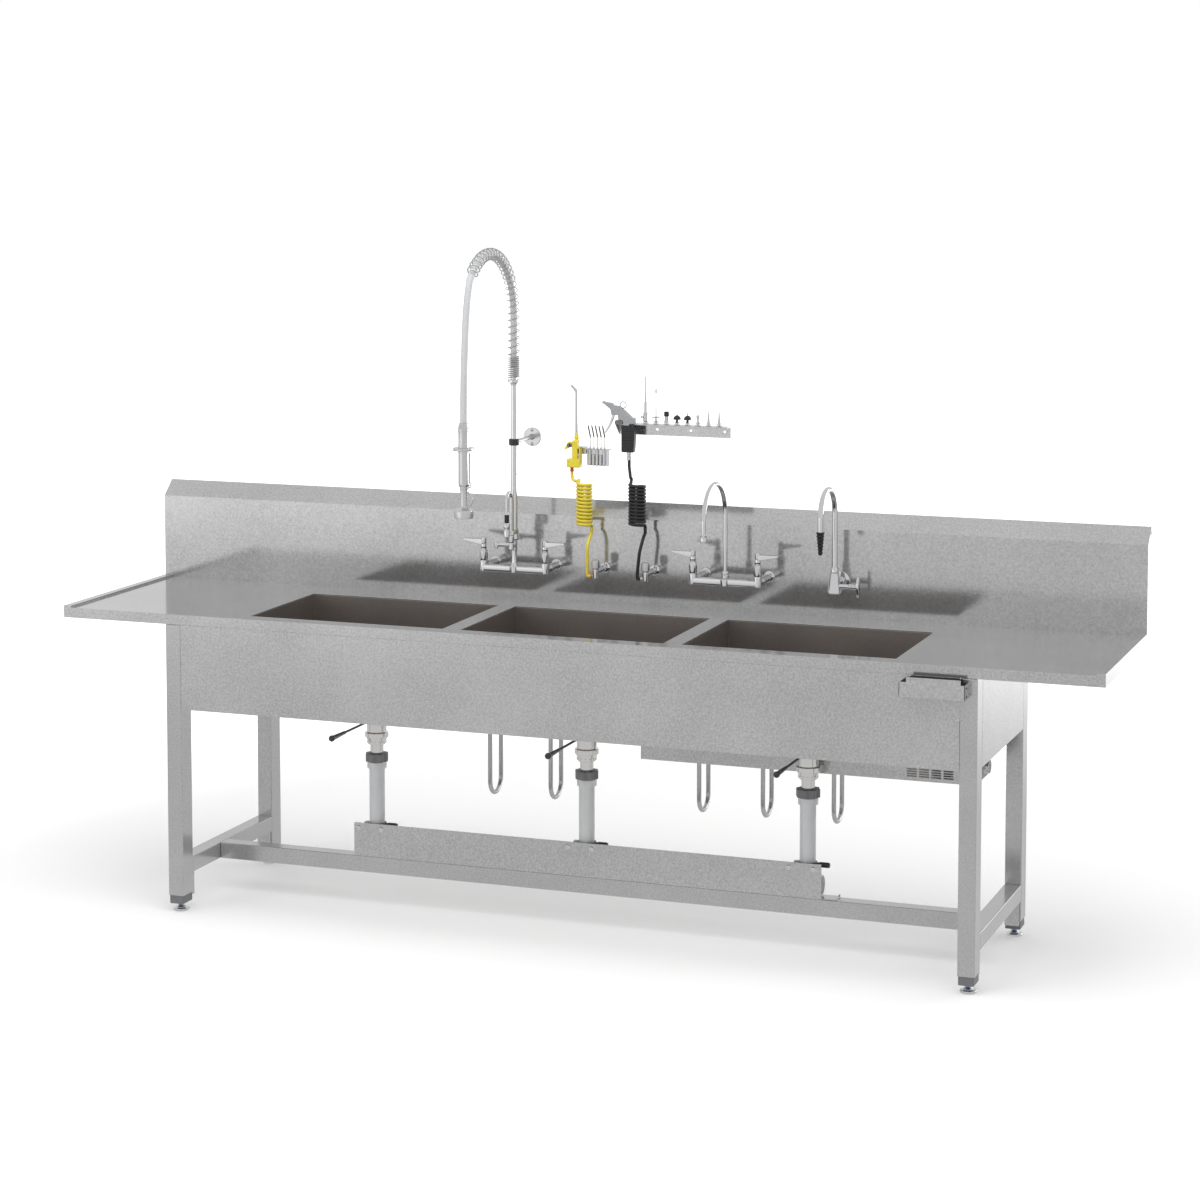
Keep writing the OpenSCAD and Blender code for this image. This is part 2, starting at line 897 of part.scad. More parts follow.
// Cover plate in front of the manifold, with domed screws
module manifold_cover() {
    y1 = stretcher_y + sheet;
    tail_x = cover_x + cover_tail;
    screw_z = rail_top + cover_h - screw_drop;
    color("silver") {
        block([-cover_x, stretcher_y, rail_top], [cover_x, y1, rail_top + cover_h]);
        block([-cover_x, y1, rail_top], [cover_x, stretcher_y + stretcher_w, rail_top + sheet]);
        block([cover_x, stretcher_y, rail_top], [tail_x, stretcher_y + stretcher_w, rail_top + sheet]);
        across_y(stretcher_y + stretcher_w - sheet, stretcher_y + stretcher_w)
            polygon([
                [tail_x, rail_top + sheet],
                [tail_x, rail_top + sheet + cover_fin],
                [tail_x - cover_fin, rail_top + sheet]
            ]);
        for (cx = basin_xs, side = [-1, 1])
            translate([cx + screw_shift + side * screw_pitch / 2, stretcher_y, screw_z])
                intersection() {
                    translate([0, sqrt(screw_cap_r * screw_cap_r - screw_r * screw_r), 0])
                        sphere(r = screw_cap_r);
                    block([-screw_cap_r, -screw_cap_r, -screw_cap_r], [screw_cap_r, 0, screw_cap_r]);
                }
    }
}
module manifold_pipe() {
    axis_z = rail_top + sheet + seat_gap + manifold_r;
    end_x = cover_x - manifold_in;
    clamp_z = socket_top;
    difference() {
        union() {
            color("white") translate([-end_x, drain_y, axis_z]) along_x(manifold_r, 2 * end_x);
            color("white") for (cx = basin_xs)
                translate([cx, drain_y, axis_z]) cylinder(r = socket_r, h = socket_top - axis_z);
            color("dimgray") for (cx = basin_xs) {
                translate([cx, drain_y, clamp_z]) cylinder(r = socket_r, h = clamp_h);
                translate([cx, drain_y, clamp_z + clamp_h / 2])
                    along_x(clamp_grip_r, socket_r + clamp_grip_l);
            }
            color("white") for (cx = basin_xs)
                block(
                    [cx - socket_r - clamp_tab_w, drain_y - clamp_tab_d / 2, clamp_z],
                    [cx - tube_r, drain_y + clamp_tab_d / 2, clamp_z + clamp_h]
                );
        }
        translate([-end_x + manifold_wall, drain_y, axis_z]) along_x(manifold_r - manifold_wall, 2 * end_x);
        for (cx = basin_xs)
            translate([cx, drain_y, axis_z])
                cylinder(r = tube_r + pin_fit, h = socket_top - axis_z + clamp_h + cut);
    }
}

// Lever drains
module lever_clevis(cx) {
    translate([cx, drain_y, lever_z]) {
        translate([0, -boss_reach, 0]) along_y(boss_r, boss_reach);
        for (side = [-1, 1]) {
            a = side * (eye_w / 2 + cheek_gap);
            b = side * (eye_w / 2 + cheek_gap + cheek_w);
            block([min(a, b), -pivot_off - eye_r, -cheek_h / 2], [max(a, b), -drain_r, cheek_h / 2]);
        }
        half = eye_w / 2 + cheek_gap + cheek_w;
        translate([-half, -pivot_off, 0]) along_x(pivot_pin_r, 2 * half);
    }
}
module drain_body(cx) {
    color("lightgray")
        union() {
            difference() {
                union() {
                    translate([cx, drain_y, floor_z]) cylinder(r = flange_r, h = flange_t);
                    translate([cx, drain_y, throat_low]) cylinder(r = throat_r, h = floor_z - throat_low);
                    translate([cx, drain_y, floor_z - sheet - locknut_h])
                        cylinder(r = locknut_r, h = locknut_h);
                    translate([cx, drain_y, cone_low])
                        cylinder(r1 = drain_r, r2 = throat_r, h = throat_low - cone_low);
                    translate([cx, drain_y, ring_low]) cylinder(r = drain_r, h = cone_low - ring_low);
                    translate([cx, drain_y, ring_low]) cylinder(r = ring_r, h = ring_top - ring_low);
                    translate([cx, drain_y, taper_low])
                        cylinder(r1 = taper_low_r, r2 = taper_top_r, h = ring_low - taper_low);
                    translate([cx, drain_y, tail_low]) cylinder(r = tail_r, h = taper_low - tail_low);
                    lever_clevis(cx);
                }
                translate([cx, drain_y, tail_low - cut])
                    cylinder(r = tail_bore, h = ring_low - tail_low + 2 * cut);
                translate([cx, drain_y, ring_low]) cylinder(r = body_bore, h = floor_z - ring_low);
                translate([cx, drain_y, seat_z]) cylinder(r = mouth_r, h = floor_z + flange_t - seat_z + cut);
            }
            difference() {
                union() {
                    for (turn = [0, 120, 240])
                        translate([cx, drain_y, spider_z]) rotate([0, 0, turn])
                            block([0, -spider_arm / 2, 0], [body_bore + cut, spider_arm / 2, spider_h]);
                    translate([cx, drain_y, spider_z]) cylinder(r = spider_hub, h = spider_h);
                }
                translate([cx, drain_y, spider_z - cut])
                    cylinder(r = stopper_stem_r + pin_fit, h = spider_h + 2 * cut);
            }
        }
}
module drain_body_left() drain_body(basin_xs[0]);
module drain_body_middle() drain_body(basin_xs[1]);
module drain_body_right() drain_body(basin_xs[2]);

module slip_nuts() {
    color("dimgray")
        for (cx = basin_xs)
            translate([cx, drain_y, nut_low])
                difference() {
                    union() {
                        cylinder(r = nut_r, h = nut_top - nut_low);
                        for (k = [0 : nut_lobes - 1])
                            rotate([0, 0, 360 * (k + 0.5) / nut_lobes]) translate([nut_r - nut_lobe_in, 0, 0])
                                cylinder(r = nut_lobe_r, h = nut_top - nut_low);
                    }
                    translate([0, 0, -cut]) cylinder(r = tail_r + pin_fit, h = nut_top - nut_low + 2 * cut);
                }
}
module drain_tubes() {
    color("whitesmoke")
        for (cx = basin_xs)
            translate([cx, drain_y, 0])
                difference() {
                    union() {
                        translate([0, 0, tube_foot_z]) cylinder(r = tube_r, h = nut_low - tube_foot_z);
                        translate([0, 0, collar_low]) cylinder(r = collar_r, h = nut_low - collar_low);
                    }
                    translate([0, 0, tube_foot_z - cut])
                        cylinder(r = tail_r + pin_fit, h = nut_low - tube_foot_z + 2 * cut);
                }
}
module drain_lever(cx) {
    ball_y = -lever_reach;
    grip_y = ball_y + grip_l;
    translate([cx, drain_y, lever_z]) {
        color("darkgray")
            difference() {
                union() {
                    translate([-eye_w / 2, -pivot_off, 0]) along_x(eye_r, eye_w);
                    translate([0, grip_y, 0]) along_y(rod_r, -pivot_off - grip_y);
                }
                translate([-eye_w, -pivot_off, 0]) along_x(pivot_pin_r + pin_fit, 2 * eye_w);
            }
        color("black") translate([0, ball_y, 0]) rotate([-90, 0, 0])
            cylinder(r1 = grip_r1, r2 = grip_r0, h = grip_l);
        color("black") translate([0, ball_y, 0]) sphere(r = ball_r);
    }
}
module drain_lever_left() drain_lever(basin_xs[0]);
module drain_lever_middle() drain_lever(basin_xs[1]);
module drain_lever_right() drain_lever(basin_xs[2]);

module stopper(cx) {
    z0 = seat_z + seat_gap;
    color("lightgray") translate([cx, drain_y, 0]) {
        translate([0, 0, z0]) cylinder(r = stopper_r, h = stopper_h);
        translate([0, 0, z0 + stopper_h]) cylinder(r = stopper_knob_r, h = stopper_knob_h);
        translate([0, 0, z0 - stopper_stem_l]) cylinder(r = stopper_stem_r, h = stopper_stem_l);
    }
}
module stopper_left() stopper(basin_xs[0]);
module stopper_middle() stopper(basin_xs[1]);
module stopper_right() stopper(basin_xs[2]);

// Utility box under the rear of the basins, open at the top
module utility_box() {
    y0 = drain_y + box_off;
    y1 = y0 + box_d;
    z1 = floor_z - sheet;
    color("silver") {
        difference() {
            block([box_x0, y0, box_bottom], [box_x1, y1, z1]);
            block([box_x0 + sheet, y0 + sheet, box_bottom + sheet], [box_x1 - sheet, y1 - sheet, z1 + cut]);
            for (col = [0 : louvre_cols - 1], row = [0 : louvre_rows - 1])
                translate([louvre_x0 + col * louvre_pitch, y0 - cut, louvre_z + row * louvre_step])
                    cube([louvre_slot[0], sheet + 2 * cut, louvre_slot[1]]);
        }
        translate([box_x1, y0 + box_d / 2, box_bottom + 2 * gland_r]) along_x(gland_r, gland_l);
    }
}

// Supply tubes: down behind the splash, round a bend and up under the deck
module quarter_bend(bend, r) {
    rotate_extrude(angle = 90) translate([bend, 0]) circle(r = r);
}
module supply_loop(x) {
    nut_y = splash_y + sheet + shank_tail;
    union() {
        translate([x, supply_rear_y - supply_bend, supply_arc_z]) rotate([90, 0, 90])
            rotate([0, 0, 180]) rotate_extrude(angle = 180) translate([supply_bend, 0]) circle(r = supply_r);
        translate([x, supply_front_y, supply_arc_z]) cylinder(r = supply_r, h = deck_z - supply_arc_z);
        translate([x, supply_rear_y, supply_arc_z])
            cylinder(r = supply_r, h = inlet_z - supply_elbow - supply_arc_z);
        translate([x, supply_rear_y - supply_elbow, inlet_z - supply_elbow]) rotate([90, 0, 90])
            rotate_extrude(angle = 90) translate([supply_elbow, 0]) circle(r = supply_r);
        translate([x, nut_y, inlet_z]) along_y(supply_r, supply_rear_y - supply_elbow - nut_y);
        translate([x, nut_y, inlet_z]) along_y(supply_nut_r, supply_nut_l);
    }
}
module supply_loops() {
    color("silver") for (x = inlet_xs()) supply_loop(x);
}

// Control pod on the front of the apron: a bent guard round a dark box
module control_pod() {
    x1 = pod_x0 + pod_w;
    face_y = front_y - pod_d;
    step_z = pod_z0 + pod_h;
    color("silver") {
        block([pod_x0, face_y, pod_z0], [x1, face_y + sheet, step_z]);
        block([pod_x0 + pod_step_x0, face_y, step_z],
            [x1 - pod_step_x1, face_y + sheet, step_z + pod_step_h]);
        block([pod_x0, face_y, pod_z0], [pod_x0 + sheet, front_y, step_z]);
        block([x1 - sheet, face_y, pod_z0], [x1, front_y, step_z]);
        for (z = pod_screw_z)
            translate([x1, front_y - pod_d / 2, pod_z0 + z]) along_x(pod_screw_r, pod_screw_h);
    }
    color("black") {
        block([pod_x0, face_y + sheet, pod_z0 + pod_lid], [x1, front_y, step_z]);
        block([pod_x0 + pod_step_x0, face_y + sheet, step_z],
            [x1 - pod_step_x1, front_y, step_z + pod_step_h - pod_lid]);
    }
}

// Taps: valve bodies on a bar, with shanks to the splash
module inlet(x, y) {
    translate([x, y, inlet_z]) along_y(shank_r, splash_y + sheet + shank_tail - y);
    translate([x, splash_y - tap_flange_t, inlet_z]) along_y(tap_flange_r, tap_flange_t);
    translate([x, y + valve_r + tap_nut_t, inlet_z]) along_y(tap_nut_r, tap_nut_t);
}
module valve(x, y) {
    translate([x, y, valve_low]) cylinder(r = valve_r, h = valve_top - valve_low);
    translate([x, y, valve_top]) cylinder(r = stem_pin_r, h = stem_pin_h);
    inlet(x, y);
}
module tap_bar(cx, y) {
    half = inlet_pitch / 2;
    block([cx - half, y - bar_y, valve_low], [cx + half, y + bar_y, valve_low + bar_h]);
    valve(cx - half, y);
    valve(cx + half, y);
}
module wrist_handle(x, y, side) {
    z0 = valve_top + seat_gap;
    top = hub_h - blade_drop;
    blade = [
        [0, top - blade_h], [blade_l * blade_waist_share, top - blade_h * blade_waist_share],
        [blade_l, top - blade_tip_h], [blade_l, top], [0, top]
    ];
    translate([x, y, z0])
        difference() {
            union() {
                color("lightgray") cylinder(r = hub_r, h = hub_h);
                color("black") translate([0, 0, ring_z]) cylinder(r = hub_r + ring_out, h = ring_h);
                color("lightgray") mirror([side < 0 ? 1 : 0, 0, 0])
                    across_y(-blade_t / 2, blade_t / 2) polygon(blade);
            }
            translate([0, 0, -cut]) cylinder(r = stem_pin_r + pin_fit, h = stem_pin_h + cut);
        }
}

// Pre-rinse tap with its add-on arm
module rinse_body() {
    post_y = rinse_y - add_on_off;
    post_z = arm_z - add_on_post_low;
    tip_x = rinse_x - arm_l;
    color("lightgray")
        union() {
            tap_bar(rinse_x, rinse_y);
            translate([rinse_x, rinse_y, valve_low + bar_h])
                cylinder(r1 = column_foot_r, r2 = column_r, h = column_foot_h);
            translate([rinse_x, rinse_y, valve_low + bar_h])
                cylinder(r = column_r, h = dome_z - valve_low - bar_h);
            translate([rinse_x, rinse_y, dome_z - dome_h]) cylinder(r1 = column_r, r2 = dome_r, h = dome_h);
            translate([rinse_x, rinse_y, dome_z]) cylinder(r = dome_r, h = dome_h);
            translate([rinse_x, rinse_y, dome_z + dome_h])
                cylinder(r1 = dome_r, r2 = riser_nut_r, h = dome_top - dome_z - dome_h);
            translate([tip_x, rinse_y, arm_z]) along_x(arm_r, arm_l);
            translate([tip_x, rinse_y, arm_z - arm_tip_r]) cylinder(r = arm_tip_r, h = 2 * arm_tip_r);
            translate([tip_x, rinse_y, arm_z - arm_tip_r - arm_outlet_l])
                cylinder(r = arm_outlet_r, h = arm_outlet_l);
            translate([rinse_x, post_y, arm_z]) along_y(arm_r, add_on_off);
            translate([rinse_x, post_y, post_z]) cylinder(r = add_on_post_r, h = add_on_top - post_z);
            translate([rinse_x, post_y, add_on_top]) cylinder(r = spout_pin_r, h = pivot_pin_h);
        }
}
module rinse_handle_left() wrist_handle(rinse_x - inlet_pitch / 2, rinse_y, -1);
module rinse_handle_right() wrist_handle(rinse_x + inlet_pitch / 2, rinse_y, 1);

module riser() {
    color("lightgray") translate([rinse_x, rinse_y, 0]) {
        translate([0, 0, dome_top]) cylinder(r = riser_r, h = riser_top_z - dome_top);
        translate([0, 0, dome_top]) cylinder(r = riser_nut_r, h = riser_nut_h);
        translate([0, 0, spring_z0 - spring_seat_h]) cylinder(r = spring_seat_r, h = spring_seat_h);
    }
}
module wall_bracket() {
    flange_y = wall_y - bracket_flange_t;
    color("lightgray")
        difference() {
            union() {
                translate([rinse_x, rinse_y, bracket_z - bracket_ring_h / 2])
                    cylinder(r = bracket_ring_r, h = bracket_ring_h);
                translate([rinse_x, rinse_y, bracket_z]) along_y(bracket_arm_r, wall_y - rinse_y);
                translate([rinse_x, flange_y, bracket_z]) along_y(bracket_flange_r, bracket_flange_t);
            }
            translate([rinse_x, rinse_y, bracket_z - bracket_ring_h])
                cylinder(r = riser_r + pin_fit, h = 2 * bracket_ring_h);
            for (side = [-1, 1])
                translate([rinse_x, flange_y - cut, bracket_z + side * bracket_hole_pitch / 2])
                    along_y(bracket_hole_r, bracket_flange_t + 2 * cut);
        }
}

// A gooseneck in the YZ plane, from its foot forward and down
module gooseneck(foot_z, arc_z, end_z, reach, r) {
    translate([0, 0, foot_z]) cylinder(r = r, h = arc_z - foot_z);
    translate([0, -reach / 2, arc_z]) rotate([90, 0, 90])
        rotate_extrude(angle = 180) translate([reach / 2, 0]) circle(r = r);
    translate([0, -reach, end_z]) cylinder(r = r, h = arc_z - end_z);
}
module add_on_spout() {
    z0 = add_on_top + seat_gap;
    translate([rinse_x, rinse_y - add_on_off, 0]) {
        color("lightgray")
            difference() {
                union() {
                    translate([0, 0, z0]) cylinder(r = add_on_post_r, h = add_on_hub_h);
                    gooseneck(z0 + add_on_hub_h, add_on_arc_z, add_on_flare_z, add_on_reach, add_on_tube_r);
                }
                translate([0, 0, z0 - cut]) cylinder(r = spout_pin_r + pin_fit, h = pivot_pin_h + cut);
            }
        translate([0, -add_on_reach, 0]) {
            color("lightgray") translate([0, 0, add_on_flare_z])
                cylinder(r1 = add_on_sleeve_r, r2 = add_on_tube_r, h = add_on_sleeve_r);
            color("dimgray") translate([0, 0, add_on_sleeve_z])
                cylinder(r = add_on_sleeve_r, h = add_on_flare_z - add_on_sleeve_z);
            color("lightgray") translate([0, 0, add_on_top])
                cylinder(r = add_on_tip_r, h = add_on_sleeve_z - add_on_top);
        }
    }
}

// Spring: a short straight start, close turns, then open turns round the arch
arch_y = rinse_y - arch_r;
open_rise = arch_z - close_z1;
open_run = open_rise + arch_r * spring_end_angle * PI / 180;
function spring_axis(s) = s < open_rise
    ? [rinse_x, rinse_y, close_z1 + s]
    : [rinse_x, arch_y + arch_r * cos((s - open_rise) / arch_r * 180 / PI),
        arch_z + arch_r * sin((s - open_rise) / arch_r * 180 / PI)];
function spring_out(s) = s < open_rise
    ? [0, 1, 0]
    : [0, cos((s - open_rise) / arch_r * 180 / PI), sin((s - open_rise) / arch_r * 180 / PI)];
function on_turn(c, out, a) = c + spring_r * (cos(a) * out + sin(a) * [-1, 0, 0]);
function spring_points() = concat(
    [for (k = [0 : 1]) [rinse_x, rinse_y + spring_r, spring_z0 + 2 * k * wire_r]],
    [for (k = [1 : close_turns * spring_rings])
        on_turn([rinse_x, rinse_y,
            spring_z0 + 2 * wire_r + (close_z1 - spring_z0 - 2 * wire_r) * k / (close_turns * spring_rings)],
            [0, 1, 0], 360 * k / spring_rings)],
    [for (k = [1 : open_turns * spring_rings])
        on_turn(spring_axis(open_run * k / (open_turns * spring_rings)),
            spring_out(open_run * k / (open_turns * spring_rings)), 360 * k / spring_rings)]
);
module riser_spring() {
    echo(spring_gap = turn_gap(spring_points(), wire_r, spring_rings));
    color("silver") sweep(spring_points(), wire_r, spring_sides);
}

// Hose inside the spring and down to the spray valve
function spray_hose_points() = concat(
    [for (z = [riser_top_z, close_z1, (close_z1 + arch_z) / 2]) [rinse_x, rinse_y, z]],
    [for (k = [0 : arch_steps])
        [rinse_x, arch_y + arch_r * cos(spring_end_angle * k / arch_steps),
            arch_z + arch_r * sin(spring_end_angle * k / arch_steps)]],
    [for (p = spray_route) [rinse_x, front_y + p[0], p[1]]],
    [[rinse_x, spray_y, spray_top + 2 * hose_r], [rinse_x, spray_y, spray_top]]
);
module spray_hose() {
    color("gainsboro") sweep(spray_hose_points(), hose_r, hose_sides);
}
module spray_valve() {
    translate([rinse_x, spray_y, 0]) {
        color("silver")
            difference() {
                union() {
                    translate([0, 0, spray_grip_low])
                        cylinder(r = spray_grip_r, h = spray_top - spray_grip_low);
                    translate([0, 0, spray_ring_z]) cylinder(r = spray_ring_r, h = spray_ring_h);
                    translate([0, 0, bell_low]) cylinder(r = spray_neck_r, h = spray_grip_low - bell_low);
                    translate([0, 0, spray_neck_low - bell_shoulder_h])
                        cylinder(r1 = bell_r, r2 = spray_neck_r, h = bell_shoulder_h);
                    translate([0, 0, bell_low])
                        cylinder(r = bell_r, h = spray_neck_low - bell_shoulder_h - bell_low);
                    for (side = [-1, 1]) {
                        a = side * (spray_lever_w / 2 + spray_lever_gap);
                        b = side * (spray_lever_w / 2 + spray_lever_gap + spray_ear_w);
                        block([min(a, b), 0, spray_lever_z - spray_knob_r],
                            [max(a, b), spray_ear_reach + spray_knob_r / 2, spray_lever_z + spray_knob_r]);
                    }
                    translate([-spray_lever_w / 2 - spray_lever_gap, spray_ear_reach, spray_lever_z])
                        along_x(spray_pin_r, spray_lever_w + 2 * spray_lever_gap);
                }
                translate([0, 0, bell_low - cut]) cylinder(r = bell_bore_r, h = bell_bore_h + cut);
            }
    }
}
module spray_lever() {
    color("silver") translate([rinse_x, spray_y, 0])
        difference() {
            union() {
                translate([-spray_lever_w / 2, spray_ear_reach, spray_lever_z])
                    along_x(spray_knob_r, spray_lever_w);
                block([-spray_lever_w / 2, spray_ear_reach, spray_lever_z],
                    [spray_lever_w / 2, spray_ear_reach + spray_lever_t, spray_lever_z + spray_lever_l]);
            }
            translate([-spray_lever_w, spray_ear_reach, spray_lever_z])
                along_x(spray_pin_r + pin_fit, 2 * spray_lever_w);
        }
}

// Double tap with its swivel spout
module double_body() {
    color("lightgray")
        union() {
            tap_bar(double_x, double_y);
            translate([double_x, double_y, valve_low + bar_h]) cylinder(r = spout_pin_r, h = spout_pin_h);
        }
}
module double_handle_left() wrist_handle(double_x - inlet_pitch / 2, double_y, -1);
module double_handle_right() wrist_handle(double_x + inlet_pitch / 2, double_y, 1);
module double_spout() {
    z0 = valve_low + bar_h + seat_gap;
    tip_top = double_tip_z + aerator_h;
    color("lightgray") translate([double_x, double_y, 0])
        difference() {
            union() {
                translate([0, 0, z0]) cylinder(r = spout_nut_r, h = spout_nut_h);
                gooseneck(z0 + spout_nut_h, double_arc_z, tip_top, double_reach, double_tube_r);
                translate([0, -double_reach, double_tip_z]) cylinder(r = aerator_r, h = aerator_h);
            }
            translate([0, 0, z0 - cut]) cylinder(r = spout_pin_r + pin_fit, h = spout_pin_h + cut);
        }
}

// Single tap with a side valve and a ringed hose nozzle
module single_body() {
    color("lightgray")
        union() {
            translate([single_x, single_y, single_low])
                cylinder(r1 = single_r0, r2 = single_r1, h = single_top - single_low);
            translate([single_x, single_y, single_top]) cylinder(r = spout_pin_r, h = spout_pin_h);
            translate([single_x, single_y, inlet_z]) along_y(single_shank_r, single_off);
            translate([single_x, splash_y - single_flange_t, inlet_z])
                along_y(single_flange_r, single_flange_t);
            translate([single_x, splash_y, inlet_z]) along_y(shank_r, sheet + shank_tail);
            translate([single_x, single_y, side_stem_z]) along_x(side_stem_r, side_stem_l);
            translate([single_x + side_stem_l, single_y, side_stem_z]) along_x(side_pin_r, side_pin_l);
        }
}
module single_handle() {
    x0 = single_x + side_stem_l + seat_gap;
    color("lightgray") translate([x0, single_y, side_stem_z])
        difference() {
            union() {
                along_x(wing_hub_r, wing_hub_l);
                across_x(wing_hub_l - wing_t, wing_hub_l)
                    polygon([
                        [0, -wing_h / 2], [wing_w / 2, -wing_h / 6], [wing_w / 2, wing_h / 6],
                        [0, wing_h / 2], [-wing_w / 2, wing_h / 6], [-wing_w / 2, -wing_h / 6]
                    ]);
            }
            translate([-cut, 0, 0]) along_x(side_pin_r + pin_fit, side_pin_l - seat_gap + cut);
        }
}
module single_spout() {
    z0 = single_top + seat_gap;
    color("lightgray") translate([single_x, single_y, 0])
        difference() {
            union() {
                translate([0, 0, z0]) cylinder(r = single_nut_r, h = single_nut_h);
                gooseneck(z0 + single_nut_h, single_arc_z, single_end_z, single_reach, single_tube_r);
            }
            translate([0, 0, z0 - cut]) cylinder(r = spout_pin_r + pin_fit, h = spout_pin_h + cut);
        }
}
module hose_nozzle() {
    step = nozzle_l / nozzle_rings;
    color("dimgray") translate([single_x, single_y - single_reach, single_end_z - nozzle_l]) {
        cylinder(r1 = nozzle_r1, r2 = nozzle_r0, h = nozzle_l);
        for (k = [0 : nozzle_rings - 1])
            translate([0, 0, (k + 0.5) * step])
                cylinder(r = nozzle_r1 + (nozzle_r0 - nozzle_r1) * (k + 1) / nozzle_rings + nozzle_lip,
                    h = step / 2);
    }
}

// Hose valves on the splash
module hose_valve(x) {
    body_h = hose_valve_mid - hose_valve_low;
    reach = barb_l + hose_valve_body_r;
    translate([x, splash_y - tap_flange_t, inlet_z]) along_y(tap_flange_r, tap_flange_t);
    translate([x, hose_valve_y, inlet_z]) along_y(hose_shank_r, hose_valve_off);
    translate([x, hose_valve_y, hose_valve_low]) cylinder(r = hose_valve_body_r, h = body_h);
    translate([x, hose_valve_y, hose_valve_mid]) cylinder(r = valve_r, h = hose_cap_h);
    translate([x - reach, hose_valve_y, barb_z]) along_x(barb_r, reach);
}
module hose_valves() {
    color("lightgray") {
        hose_valve(left_valve_x);
        hose_valve(right_valve_x);
    }
}

// Left gun with a bent wand
module left_gun() {
    y0 = gun_y - gun_t / 2;
    y1 = gun_y + gun_t / 2;
    translate([left_gun_x, 0, 0]) {
        color("gold") {
            block([left_block_x0, y0, left_block_z], [left_block_x1, y1, left_block_z + left_block_h]);
            block([left_body_x0, y0, left_block_z + left_block_h], [left_body_x1, y1, left_body_top]);
            block([left_block_x1 - loop_w, y0, left_block_z + left_block_h], [left_block_x1, y1, loop_top]);
            block([left_body_x1, y0, loop_top - loop_w], [left_block_x1 - loop_w, y1, loop_top]);
            translate([0, gun_y, left_ball_z]) sphere(r = left_ball_r);
            translate([0, gun_y, left_body_top])
                cylinder(r = left_body_x1, h = left_collar_top - left_body_top);
        }
        color("dimgray") for (side = [-1, 1]) {
            a = gun_y + side * (trigger_t / 2 + cheek_gap);
            b = gun_y + side * (trigger_t / 2 + cheek_gap + trigger_ear);
            translate([trigger_pin_x, min(a, b), trigger_pin_z]) along_y(trigger_ear_r, trigger_ear);
            block([trigger_pin_x, min(a, b), trigger_pin_z - trigger_ear_r],
                [left_body_x0, max(a, b), trigger_pin_z + trigger_ear_r]);
        }
        color("dimgray") translate([trigger_pin_x, gun_y - trigger_t / 2 - trigger_ear, trigger_pin_z])
            along_y(trigger_pin_r, trigger_t + 2 * trigger_ear);
        color("silver") translate([0, gun_y, left_collar_top])
            cylinder(r = wand_r, h = wand_bend_z - left_collar_top);
        color("silver") translate([-wand_bend_r, gun_y, wand_bend_z]) rotate([90, 0, 0])
            rotate_extrude(angle = wand_angle) translate([wand_bend_r, 0]) circle(r = wand_r);
        color("silver")
            translate([
                -wand_bend_r + wand_bend_r * cos(wand_angle), gun_y,
                wand_bend_z + wand_bend_r * sin(wand_angle)
            ])
                rotate([0, -wand_angle, 0]) translate([0, 0, -wand_tip_in])
                    cylinder(r = wand_tip_r, h = wand_tip_in + wand_tip_l);
        color("firebrick") translate([left_union_x, gun_y, left_block_z - left_union_l])
            cylinder(r = left_union_r, h = left_union_l);
    }
}
module left_trigger() {
    color("gold") translate([left_gun_x + trigger_pin_x, 0, trigger_pin_z])
        difference() {
            across_y(gun_y - trigger_t / 2, gun_y + trigger_t / 2)
                polygon([for (p = left_trigger_shares) [p[0] * trigger_l, p[1] * trigger_h]]);
            translate([0, gun_y - trigger_t, 0]) along_y(trigger_pin_r + pin_fit, 2 * trigger_t);
        }
}

// Coiled hoses: the coil climbs clockwise from its right side to its left side,
// and a free stretch meets it at each end along a straight lead
coil_steps = coil_half_turns * coil_rings / 2;
hose_d = 2 * coil_hose_r;
function coil_at(c, r, z0, z1, k) = [
    c[0] + r * cos(360 * k / coil_rings), c[1] - r * sin(360 * k / coil_rings),
    z0 + (z1 - z0) * k / coil_steps
];
function coil_foot(c, r, z0) = [c[0] + r, c[1] + coil_swing, z0 - coil_lift];
function coil_head(c, r, z1, lead) = [c[0] - r, c[1] + coil_swing, z1 + coil_lift / 2] + lead;
function coil_points(c, r, z0, z1, lead) = concat(
    [coil_foot(c, r, z0) - [0, 0, hose_d], coil_foot(c, r, z0)],
    [for (k = [0 : coil_steps]) coil_at(c, r, z0, z1, k)],
    [coil_head(c, r, z1, [0, 0, 0]), coil_head(c, r, z1, lead)]
);
function from_splash(p) = [p[0], splash_y - p[1], p[2]];
function drop_points(valve_x, route, c, r, z0) = concat(
    [for (k = [0, 1]) [valve_x - hose_valve_body_r - barb_l - k * hose_d, hose_valve_y, barb_z]],
    [for (p = route) from_splash(p)],
    [for (k = [2, 1]) coil_foot(c, r, z0) - k * [0, 0, hose_d]]
);
function rise_points(c, r, z1, lead, route, top) = concat(
    [coil_head(c, r, z1, lead), coil_head(c, r, z1, 2 * lead)],
    [for (p = route) from_splash(p)],
    [for (k = [1, 0]) top - k * [0, 0, hose_d]]
);
left_coil_c = [left_coil_x, splash_y - left_coil_off];
left_lead = hose_d * unit([-3, 9, 1]);
left_hose_top = [left_gun_x + left_union_x, gun_y, left_block_z - left_union_l];
module left_coil() {
    points = coil_points(left_coil_c, left_coil_r, left_coil_z0, left_coil_z1, left_lead);
    echo(left_gap = turn_gap(points, coil_hose_r, coil_rings));
    color("gold") sweep(points, coil_hose_r, coil_sides);
}
